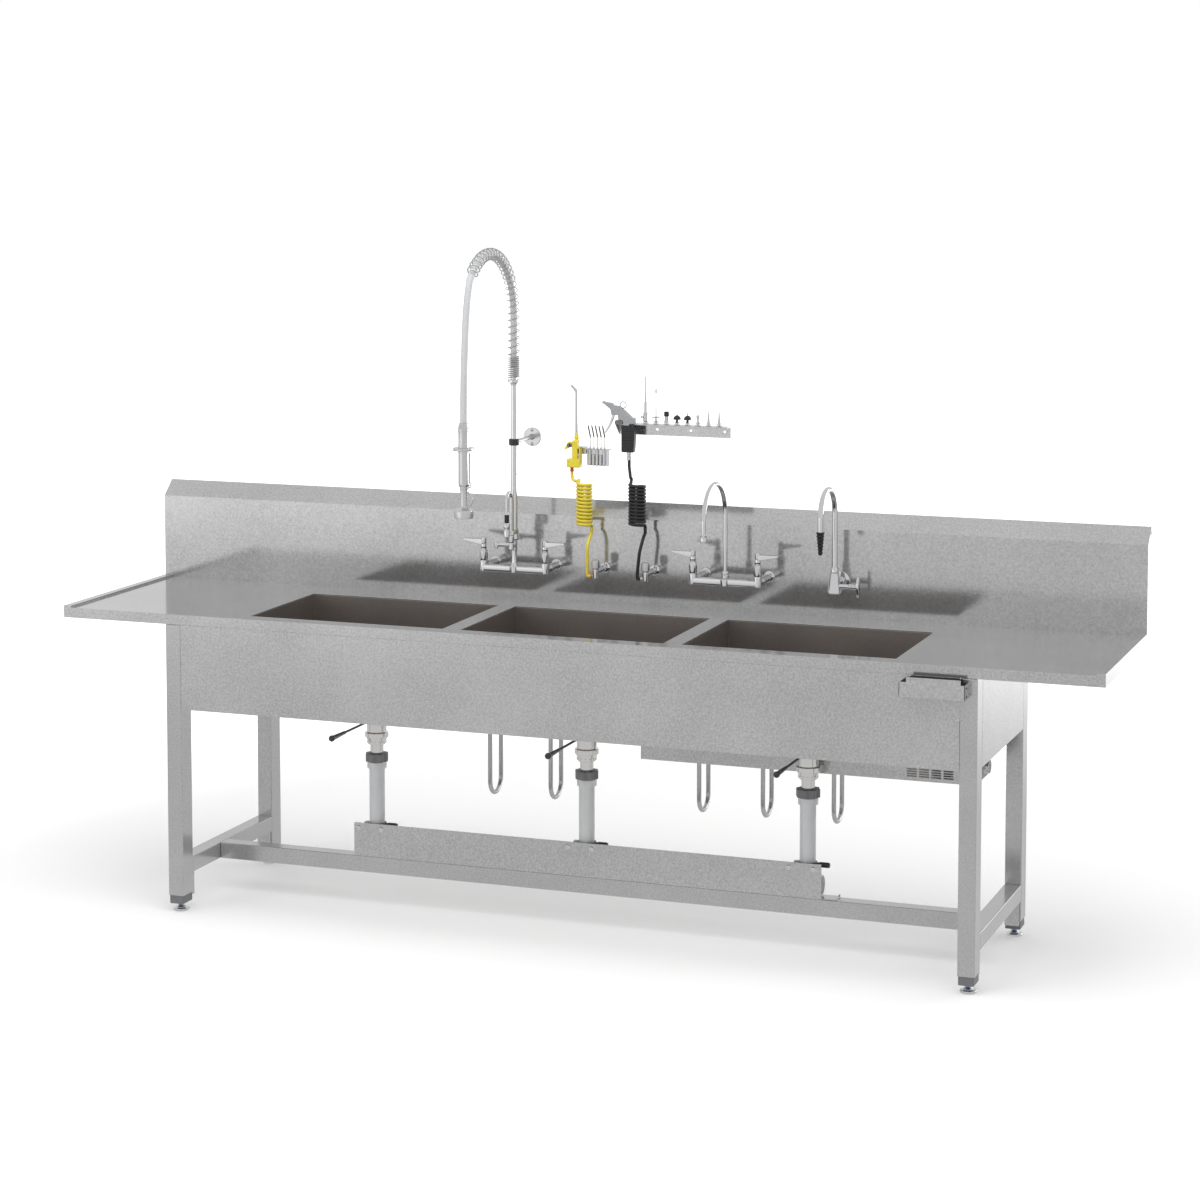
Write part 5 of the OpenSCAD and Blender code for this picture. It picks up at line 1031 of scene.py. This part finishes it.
broad = bent_tube(gooseneck(1055, 1228, 1196, DOUBLE_REACH), 7)
collar = turned([(5.05, 1035.3), (10.4, 1035.3), (11.5, 1036.6), (11.5, 1045), (10.4, 1046.6),
                 (11.5, 1048), (11.5, 1054), (9.4, 1057), (5.05, 1057.3)], closed=True)
cap = rod(7.6, 1050, 1059, 36)
aerator = turned([(6.2, 1174), (8.8, 1174), (9.5, 1175), (9.5, 1186), (8.6, 1187.4), (8.6, 1190),
                  (9.5, 1191.4), (9.5, 1195.4), (7.2, 1197.4), (6.2, 1197.4)], closed=True)
screen = rod(6.3, 1175.6, 1176.6, 36)
end = [at(part, 0, -DOUBLE_REACH, 0) for part in (aerator, tint(1, screen))]
shape = joined(broad, collar, cap, *end)
piece("double_gooseneck", at(shape, DOUBLE.x, DOUBLE.y, 0), "double_spout",
      [CHROME, BLACK_RUBBER], ["double_spout"], 0.3)

broad = bent_tube(gooseneck(1078, 1242, 1205.2, SINGLE_REACH), 8.5)
collar = turned([(5.05, 1062.3), (11, 1062.3), (12, 1063.6), (12, 1075), (10.2, 1078.6),
                 (5.05, 1079.3)], closed=True)
cap = rod(9.2, 1073, 1081, 36)
piece("single_gooseneck", at(joined(broad, collar, cap), SINGLE.x, SINGLE.y, 0), "single_spout",
      [CHROME], ["single_spout"], 0.3)

# %% [markdown]
# ## The double and single taps
#
# The double tap repeats the valves and bar. The single tap is a tapered body with one side valve,
# and its spout ends in a ringed rubber nozzle that a hose can be pushed onto.

# %% Make both bodies, the wing handle and the nozzle
piece("double_tap_body", bar(DOUBLE.x, DOUBLE.y), "base", [CHROME],
      ["double_body"], 0.4)

trunk = spun([(19, 1000), (21, 1002), (20.6, 1006), (17.6, 1028), (14.6, 1050), (13, 1058),
              (13, 1060.4), (11.8, 1062)])
foot_ring = rod(17.6, 998.6, 1000.4, 48)
shank = laid(spun([(13, 0), (13, 50), (15, 52), (15, 57), (13, 60), (13, 66)]), "Y")
flange = spun([(30, 0), (30, 2), (28.6, 4), (22, 5.4), (15, 6)])
flange = at(turn(flange, 90, "X"), 0, 66, 0)
side = laid(spun([(8, 10), (8, 44), (9.4, 46), (9.4, 60), (8, 62), (7.4, 64)], 40), "X")
shape = joined(trunk, foot_ring, at(shank, 0, 0, INLET_Z), at(flange, 0, 0, INLET_Z),
               at(side, 0, 0, INLET_Z - 6))
piece("single_tap_body", at(shape, SINGLE.x, SINGLE.y, 0), "base", [CHROME],
      ["single_body"], 0.4)

wing = plate([(0, -32), (4, -30.4), (8.6, -20), (10, -10.7), (10, 10.7), (8.6, 20), (4, 30.4),
              (0, 32), (-4, 30.4), (-8.6, 20), (-10, 10.7), (-10, -10.7), (-8.6, -20),
              (-4, -30.4)], -4, 4, 1.8)
wing = at(turn(wing, 90, "Z"), 8, 0, 0)
boss = laid(turned([(4.1, 0), (10, 0), (10, 10), (8.4, 12), (0, 12)], 40), "X")
button = at(laid(bowed(5, 1.4, 0, 28, 4), "X"), 11.9, 0, 0)
piece("single_wing", at(joined(wing, boss, button), SINGLE.x + 64.3, SINGLE.y, INLET_Z - 6),
      "single_handle", [CHROME], ["single_handle"], 0.4)

RINGS, NOZZLE_LENGTH = 7, 68
step = NOZZLE_LENGTH / RINGS
profile = [(3.2, 0), (5, 0)]
for k in range(RINGS):
    r0, r1 = 5 + 6 * k / RINGS, 5 + 6 * (k + 1) / RINGS
    rib = ((r0 + 0.4, 0.4), (r1 + 1.2, 0.6), (r1 + 1.4, 0.78), (r1 + 1.2, 0.94))
    profile += [(r, k * step + share * step) for r, share in rib]
    profile.append((r1 - 0.4, k * step + step))
profile.append((3.2, NOZZLE_LENGTH))
shape = at(turned(profile, closed=True), SINGLE.x, SINGLE.y - SINGLE_REACH, 1137)
piece("ringed_nozzle", shape, "single_spout", [BLACK_RUBBER], ["hose_nozzle"],
      0.2)

# %% [markdown]
# ## Hose valves
#
# Two small stop valves on the splash feed the coiled hoses. Each has a ribbed cap on top, and
# the left one has a red clip where its hose is pushed in.

# %% Make the stop valves
def stop_valve(x, clip):
    """A valve on a round flange, with a ribbed cap and a hose tail to the left."""
    y = VALVE_Y
    flange = turn(spun([(18, 0), (18, 2.4), (16.4, 5), (12, 7)]), 90, "X")
    shank = laid(spun([(8, 0), (8, 60), (9.4, 62), (9.4, 74), (8, 76), (8, 86)], 36), "Y")
    body = spun([(9, 1006), (10.5, 1007.6), (10.5, 1030), (9, 1032), (9, 1036), (11.4, 1038)], 40)
    cap = lobed(12, 0.4, 20, 1038.4, 1060, 0.5)
    crown = spun([(11.4, 1060), (10.6, 1062.4), (8, 1064)], 40)
    tail = turn(spun([(6, 9), (6, 13), (5.2, 14), (5.2, 15.5)], 32), -90, "Y")
    tail = at(tail, 0, 0, BARB_Z)
    grip = tint(1 if clip else 0, turn(sleeve(5.1, 6.6, 10.6, 15.4, 32), -90, "Y"))
    grip = at(grip, 0, 0, BARB_Z)
    upright = at(joined(at(shank, 0, 0, INLET_Z), body, cap, crown, tail, grip), x, y, 0)
    return joined(upright, at(flange, x, SPLASH_Y, INLET_Z))


piece("stop_valves", joined(stop_valve(-70, True), stop_valve(92, False)), "base",
      [CHROME, RED_FITTING], ["hose_valves"], 0.3)

# %% [markdown]
# ## The spray valve
#
# The rinse head hangs on its hose. Its grip is a moulded sleeve with a thin ring that hooks onto
# things, and below a narrow neck opens the bell with the spray face. A lever behind the grip
# opens the valve when it is squeezed.

# %% Make the spray valve and its lever
PIN_Y, PIN_Z = 31, 1329
sleeve_top = spun([(13, 1328), (15.4, 1331), (16, 1336), (16, 1425), (17, 1434), (17, 1446),
                   (16, 1456), (16, 1486), (17, 1493), (17, 1500), (15.6, 1507), (14, 1510.4),
                   (14, 1515.6), (12, 1517)])
disc = turned([(16, 1436.5), (31, 1435.2), (32, 1437), (32, 1442), (31, 1443.8), (16, 1442.5)],
              closed=True)
neck = turned([(0, 1250), (12, 1263), (12, 1268), (10.6, 1272), (10.6, 1316), (12, 1320),
               (12, 1328.4), (0, 1328.4)], 40)
bell = turned([(24, 1235), (27.6, 1235), (28.5, 1236.4), (28.5, 1256), (27, 1259), (16, 1263.6),
               (12, 1267), (0, 1267), (0, 1249), (24, 1249)])
face = tint(1, rod(23.9, 1240, 1249.5, 48))
jets = []
for ring_r, count in ((6, 6), (12, 12), (18, 18)):
    for k in range(count):
        a = tau * k / count
        jets.append(at(sleeve(0.8, 1.5, 1238.9, 1240.4, 10), ring_r * cos(a), ring_r * sin(a), 0))
ears = [slab((s * 9.5 - 2, 6, PIN_Z - 8), (s * 9.5 + 2, 35, PIN_Z + 8), 2) for s in (-1, 1)]
pin = at(laid(rod(3, -12, 12, 24), "X"), 0, PIN_Y, PIN_Z)
guard = bent_tube([Vector((11 + 16 * sin(a), -2, 1290 - 22 * cos(a))) for a in
                   (pi * k / 14 for k in range(15))], 2.2, 14)
shape = joined(sleeve_top, disc, neck, bell, face, tint(1, *jets), *ears, pin, guard)
piece("rinse_head", at(shape, SPRAY.x, SPRAY.y, 0), "base", [BRIGHT_STEEL, BLACK_RUBBER],
      ["spray_valve"], 0.4)

blade = plate([(29, 1329), (35, 1329), (36, 1350), (37.4, 1392), (36, 1412), (33.4, 1425),
               (30.6, 1424.4), (32.6, 1411), (33.4, 1392), (31.6, 1350)], -7, 7, 0.8)
turn(blade, 90, "Z")
knuckle = at(laid(sleeve(3.05, 8, -7, 7, 32), "X"), 0, PIN_Y, PIN_Z)
piece("rinse_lever", at(joined(blade, knuckle), SPRAY.x, SPRAY.y, 0), "spray_lever",
      [BRIGHT_STEEL], ["spray_lever"], 0.3)

# %% [markdown]
# ## The yellow gun
#
# It is moulded in two yellow halves around a steel wand. A window in the body lets a finger
# through, a grey bracket carries the hooked trigger, and a red clip holds the hose below.

# %% Mould the yellow gun and its trigger
def boxed(x0, x1, z0, z1, half, round_by):
    """A block of the gun between two X, two Z and a half thickness about the gun plane."""
    return slab((x0, GUN_Y - half, z0), (x1, GUN_Y + half, z1), round_by)


WAND_X = -166
TIP_R, TIP_Z = 12, 1566
PIVOT_X, PIVOT_Z = -189, 1403
tower = spun([(9.4, 1416), (9.4, 1418), (6.4, 1421), (6, 1422.4), (7, 1424), (7.5, 1427), (7, 1430),
              (6, 1432), (6, 1437), (5.2, 1440)], 40)
body = [boxed(-196, -151, 1334, 1361, 11, 3), boxed(-178, -160, 1355, 1418, 11, 3),
        boxed(-155, -151, 1356, 1397, 10, 1.6), boxed(-162, -151, 1392.6, 1397, 10, 1.6),
        at(tower, WAND_X, GUN_Y, 0)]
for x, z in ((-186, 1341), (-186, 1354), (WAND_X - 3, 1370), (WAND_X - 3, 1410)):
    body.append(at(turn(bowed(2.4, 1, 0, 16, 3), 90, "X"), x, GUN_Y - 11, z))
bracket = []
for sign in SIDES.values():
    a, b = sorted((sign * 4.4, sign * 8.4))
    bracket.append(slab((PIVOT_X, GUN_Y + a, PIVOT_Z - 6),
                        (PIVOT_X + 12, GUN_Y + b, PIVOT_Z + 6), 1.2))
    bracket.append(at(laid(rod(6, a, b, 28), "Y"), PIVOT_X, GUN_Y, PIVOT_Z))
bracket.append(at(laid(rod(3, -9, 9, 20), "Y"), PIVOT_X, GUN_Y, PIVOT_Z))
line = [Vector((WAND_X, GUN_Y, z)) for z in (1438, 1564)]
line += [Vector((WAND_X - TIP_R + TIP_R * cos(radians(a)), GUN_Y,
                 TIP_Z + TIP_R * sin(radians(a)))) for a in (5, 15, 25, 35, 45)]
line.append(line[-1] + Vector((-2, 0, 2)))
wand = bent_tube(line, 4.5, 24)
tip = spun([(4.7, -3), (4.7, 2), (3.6, 3), (3.6, 17), (2.8, 20), (1.4, 20), (1.4, 16)], 28)
tip = at(turn(tip, -45, "Y"), WAND_X - TIP_R + TIP_R * cos(pi / 4), GUN_Y,
         TIP_Z + TIP_R * sin(pi / 4))
clip = at(spun([(5.4, 1321), (6, 1322), (6, 1327), (5, 1328.4), (5, 1330), (6, 1331.4),
                (6, 1334.4)], 32), -181, GUN_Y, 0)
shape = joined(*body, tint(1, *bracket), tint(2, wand, tip), tint(3, clip))
piece("yellow_gun", shape, "base", [YELLOW_BODY, NUT_GREY, BRIGHT_STEEL, RED_FITTING],
      ["left_gun"])

hook = plate([(-2, 11.2), (1.6, 11), (5.1, 9), (8, 6), (9, 3), (8, -1), (5.9, -4), (1, -7.6),
              (-6, -11.6), (-12.9, -14), (-15.4, -13.4), (-17, -9.9), (-13.6, -6), (-10.6, -2.6),
              (-9, 0), (-6, 6)], -4, 4, 1)
piece("yellow_trigger", at(hook, PIVOT_X, GUN_Y, PIVOT_Z), "left_trigger", [YELLOW_BODY],
      ["left_trigger"], 0.3)

# %% [markdown]
# ## The grey gun
#
# This one is a cast air gun: a slim barrel, a long trigger in front of the dark grip and a wire
# ring to hang it by. Its outline is drawn once, in millimetres from the lower left corner of the
# box that holds it.

# %% Cast the grey gun and its trigger
barrel = [(1, 155.6), (8.5, 152.5), (29.7, 150.1), (37.1, 143), (55.1, 141.4), (74.2, 126.4),
          (89, 113), (96.5, 106.7), (106, 105.1), (106, 88.5), (91.2, 87.7), (88, 82.2), (70, 82.2),
          (67.8, 97.2), (53, 99.5), (51.9, 114.6), (39.2, 113), (30.7, 115.3), (28.6, 126.4),
          (27.6, 131.1), (12.7, 143), (6.4, 146.9), (0, 151.7)]
handle = [(63.6, 83), (97, 83), (106, 77), (106, 47.4), (104.6, 20), (102.8, 1.5), (100, 0),
          (66, 0), (63.6, 2)]
body = [plate(barrel, low, high, soft) for low, high, soft in
        ((-4.9, 4.9, 1.2), (-10, -4.9, 1.8), (4.9, 10, 1.8))]
ring = at(turn(hoop(9.8, 1.7), 90, "X"), 0.63 * GREY_W, 0, 0.92 * GREY_H)
screws = [at(turn(bowed(3, 1.2, 0, 20, 3), 90, "X"), x, -10, z)
          for x, z in ((60, 120), (80, 100), (36, 130))]
fitting = spun([(6.4, -25), (8, -23.4), (8, -14), (6.6, -12.6), (6.6, -8), (8, -6.6), (8, 0.4)], 36)
fitting = at(fitting, FITTING_X, 0, 0)
ribs = [slab((66, -10.35, 10 + 9 * k), (103, 10.35, 14 + 9 * k), 1.2) for k in range(7)]
shape = joined(*body, tint(2, ring, fitting, *screws), tint(1, plate(handle, -10, 10, 3), *ribs))
piece("grey_gun", at(shape, GREY_X, GUN_Y, GREY_Z), "base", [GUN_GREY, BLACK_RUBBER, BRIGHT_STEEL],
      ["right_gun"])

lever = [(28.6, 124), (31.8, 127.2), (37.1, 127.2), (40.5, 123.2), (40.5, 116.1), (36, 104.3),
         (31.8, 93.2), (24.4, 77.4), (17, 66), (9.5, 56.9), (7.8, 57), (7.4, 59.3), (20.1, 82.2),
         (26.5, 98), (30.2, 110.6), (28.6, 118.5)]
piece("grey_trigger", at(plate(lever, -4.5, 4.5, 1.2), GREY_X, GUN_Y, GREY_Z), "right_trigger",
      [BRIGHT_STEEL], ["right_trigger"], 0.3)

# %% [markdown]
# ## The tool rail
#
# A folded steel shelf on the wall carries the nozzles, and a dark hook at its end holds the grey
# gun. To its left a small rack holds five rinsing needles in tubes.

# %% Fold the rail and build the needle rack
SHELF_Z = 1474
shape = cad_copy("tool_rail")
rack = [f for f in shape.faces if f.calc_center_median().x < -45]
bmesh.ops.delete(shape, geom=rack, context="FACES")
whole_faces(shape, shape.verts, shape.edges)
for face in shape.faces:
    spot = face.calc_center_median()
    face.material_index = 1 if spot.x < -12 and spot.z > SHELF_Z - 0.1 else 0
piece("rail_shelf", shape, "base", [SATIN_SHEET, NUT_GREY], ["tool_rail"], 0.5)

RACK_Y = WALL_Y - 34
NEEDLE_X, NEEDLE_STEP = -128, 11.8
rack = [slab((-139, RACK_Y + 2, 1340), (-65, WALL_Y, 1390), 1.5),
        slab((-176, GUN_Y + 11, 1375), (-139, WALL_Y, 1395), 1.5)]
tips = []
for k in range(5):
    x = NEEDLE_X + NEEDLE_STEP * k
    top = 1390 - 16 * (k % 2)
    tube = spun([(4, 1340), (5, 1341.4), (5, top - 1), (4.2, top)], 28)
    collar = spun([(3.4, 1390), (3.4, 1394), (2.2, 1397)], 20)
    rack += [at(tube, x, RACK_Y, 0), at(rod(1.8, 1388, 1428, 16), x, RACK_Y + 5, 0),
             at(collar, x, RACK_Y + 5, 0)]
    tip = spun([(2.3, 0), (2.3, 30), (1.6, 36), (0.8, 38)], 18)
    tips.append(at(turn(tip, -12, "Y"), x, RACK_Y + 5, 1428))
piece("needle_rack", joined(*rack, tint(1, *tips)), "base", [BRIGHT_STEEL, BROWN_TIP],
      soft=0.3)

# %% [markdown]
# ## Nozzles on the rail
#
# Each rinsing nozzle stands on a small steel neck with splayed clip legs. They are turned parts:
# a thin pipe on a stout body with a side port, a needle with a disc and a bulb, a black cap on a
# cone, two soft domes with a fine point, a spool and two slim cones.

# %% Turn the nozzles
def clip_foot():
    """A neck between two legs that splay where they stand on the shelf."""
    shape = [spun([(6, 0), (6, 1.4), (4, 2.4), (3.4, 6), (4.4, 9)], 28)]
    for sign in (-1, 1):
        leg = turn(slab((-0.8, -2.4, 0), (0.8, 2.4, 15), 0.5), -sign * 24, "Y")
        shape.append(at(leg, sign * 8.6, 0, 0.4))
    return joined(*shape)


DOME = [(0, 8), (3.6, 8), (3.6, 17), (10.4, 18), (11.8, 19), (11.4, 22), (9.8, 25.4), (7, 28.6),
        (3.6, 30.8), (1.2, 31.6), (0.9, 38), (0.6, 42), (0, 42.4)]
CONE = [(0, 8), (6.4, 8), (6.4, 10.4), (4.6, 12), (3.4, 24), (2, 38), (1.3, 46), (0, 46.4)]
TOPS = [
    [(0, 8), (6, 8), (8, 10), (8, 32), (6.4, 35), (5, 36), (5, 66), (3.6, 68), (3.2, 90), (2.4, 92),
     (2.2, 145), (1.4, 147), (0, 147)],
    [(0, 8), (3.4, 8), (3.4, 20), (12.6, 21), (13, 22), (12.6, 23), (3, 24), (2.2, 27), (1.7, 96),
     (2.6, 99), (3.2, 103), (2.8, 107), (1.6, 109.4), (0, 110)],
    [(0, 8), (7.4, 8), (6.2, 18), (5.4, 28), (0, 28)],
    DOME, DOME,
    [(0, 8), (5, 8), (5, 14), (3.6, 15), (3.6, 24), (5.4, 25), (5.4, 32), (4.4, 33.4), (0, 33.4)],
    CONE, CONE,
]
NOZZLE_X, NOZZLE_STEP = 52, 33.85
NOZZLE_Y = WALL_Y - 27
steel, dark = [], []
for k, profile in enumerate(TOPS):
    x = NOZZLE_X + NOZZLE_STEP * k
    steel.append(at(clip_foot(), x, NOZZLE_Y, SHELF_Z))
    top = at(turned(profile, 32), x, NOZZLE_Y, SHELF_Z)
    (dark if profile is DOME else steel).append(top)
cap = turned([(5.2, 26), (7.4, 27), (7.8, 28.4), (7.8, 39), (6.8, 41), (0, 41.6), (0, 27.8),
              (5.2, 27.8)], 32)
dark.append(at(cap, NOZZLE_X + 2 * NOZZLE_STEP, NOZZLE_Y, SHELF_Z))
port = laid(spun([(3, -16), (3.4, -14), (2.6, -12), (2.6, 0)], 20), "X")
steel.append(at(port, NOZZLE_X, NOZZLE_Y, SHELF_Z + 22))
piece("rinsing_nozzles", joined(*steel, tint(1, *dark)), "base", [BRIGHT_STEEL, BLACK_RUBBER],
      ["rail_nozzles"], 0.3)

# %% [markdown]

# %% [markdown]
# ## The floor and the world
#
# The photograph stands on white. A very large pale floor takes the soft shadow, and past it the
# world is white to the camera alone. Metal must not mirror pure white everywhere, or it would
# look like paper. So its reflections see a grey world, and a floor that glows for them alone as
# a painted reflection: even near the sink and lighter far out to the front left and the rear right.

# %% Lay the floor
scene.view_settings.view_transform = "Standard"
floor_mesh = bpy.data.meshes.new("studio_floor")
shape = bmesh.new()
bmesh.ops.create_grid(shape, x_segments=8, y_segments=8, size=30)
shape.to_mesh(floor_mesh)
shape.free()
floor = bpy.data.objects.new("studio_floor", floor_mesh)
floor.location.z = -0.0005
scene.collection.objects.link(floor)
FLOOR_PAPER = finish("floor_paper", (0.96, 0.96, 0.96), (0.95, 0.95, 0.95), 0.85, spread=0.02,
                     grain=3, cloud=0.3, depth=0.0)
floor_mesh.materials.append(FLOOR_PAPER)

# %% Work out where the floor is white, and what the steel mirrors of it
paper = FLOOR_PAPER.node_tree
spot = add_node(paper, "TexCoord").outputs["Object"]
away = add_node(paper, "VectorMath", {0: spot}, operation="LENGTH").outputs["Value"]
far = add_node(paper, "MapRange", {"Value": away, "From Min": 2.0, "From Max": 3.4,
                                   "To Min": 0.14}, interpolation_type="SMOOTHSTEP")
rays = add_node(paper, "LightPath").outputs
white = add_node(paper, "Math", {0: far.outputs["Result"], 1: rays["Is Camera Ray"]},
                 operation="MULTIPLY").outputs[0]
along = add_node(paper, "SeparateXYZ", {0: spot}).outputs


def ramp(axis, start, end, low, high):
    """A tone that goes from low to high between two places along X or Y."""
    return add_node(paper, "MapRange", {"Value": along[axis], "From Min": start, "From Max": end,
                                        "To Min": low, "To Max": high}).outputs["Result"]


def times_plus(first, second, third):
    """first times second, plus third."""
    return add_node(paper, "Math", {0: first, 1: second, 2: third},
                    operation="MULTIPLY_ADD").outputs[0]


# Painted reflection: for glossy rays the floor glows with this tone, even near the sink and lighter
# to the front left and rear right, so the steel mirrors lighter patches there.
in_front = times_plus(ramp("X", -0.5, -6.0, 0.06, 0.7), ramp("Y", -3.0, -8.0, 0.0, 1.0), 0.72)
mirrored = times_plus(ramp("X", 0.0, 4.0, 0.4, 1.8), ramp("Y", 2.0, 6.0, 0.0, 1.0), in_front)


# %% Let the floor run out into white
def lit(before, share, strength):
    """The floor's shader with an even light mixed in by a share."""
    glow = add_node(paper, "Emission", {"Strength": strength}).outputs[0]
    return add_node(paper, "MixShader", {"Fac": share, 1: before, 2: glow}).outputs[0]


matt = paper.nodes["Principled BSDF"].outputs["BSDF"]
# The floor glows with that tone for glossy rays alone, a painted reflection in the steel.
floor_light = lit(lit(matt, white, 1.5), rays["Is Glossy Ray"], mirrored)
paper.links.new(floor_light, paper.nodes["Material Output"].inputs["Surface"])

# %% Paint the world
world = bpy.data.worlds.new("studio")
world.use_nodes = True
scene.world = world
sky = world.node_tree
sky.nodes.clear()
WORLD_LIGHT = {"camera": 1.0, "glossy": 0.8, "diffuse": 0.7}
rays = add_node(sky, "LightPath").outputs
tones = {name: add_node(sky, "Background", {"Color": (1, 1, 1, 1), "Strength": level}).outputs[0]
         for name, level in WORLD_LIGHT.items()}
mirror = add_node(sky, "MixShader", {"Fac": rays["Is Glossy Ray"], 1: tones["diffuse"],
                                     2: tones["glossy"]}).outputs[0]
seen = add_node(sky, "MixShader", {"Fac": rays["Is Camera Ray"], 1: mirror, 2: tones["camera"]})
add_node(sky, "OutputWorld", {"Surface": seen.outputs[0]})

# %% [markdown]
# ## Soft lamps
#
# Large square lamps stand in for a studio's softboxes. The one above gives the most light. The
# two at the sides are nearly equal, but only the right one is mirrored in the steel, because the
# photograph's right-hand faces are its lightest.

# %% Hang the lamps
def softbox(name, place, target, size, power, mirrored=True):
    """A square lamp at a place, turned to a target, both in metres."""
    lamp = bpy.data.lights.new(name, "AREA")
    lamp.shape = "SQUARE"
    lamp.size = size
    lamp.energy = power
    box = bpy.data.objects.new(name, lamp)
    box.location = place
    way = Vector(target) - Vector(place)
    box.rotation_euler = way.to_track_quat("-Z", "Y").to_euler()
    box.visible_camera = False
    box.visible_glossy = mirrored
    scene.collection.objects.link(box)


softbox("lamp_right", (4.6, 4.6, 1.9), (1.2, 0, 0.9), 4.0, 75)
softbox("lamp_left", (-4.4, -5.8, 2.0), (-0.8, 0, 0.9), 3.6, 70, mirrored=False)
softbox("lamp_above", (0.4, -1.6, 5.0), (0, 0, 0), 4.5, 140, mirrored=False)
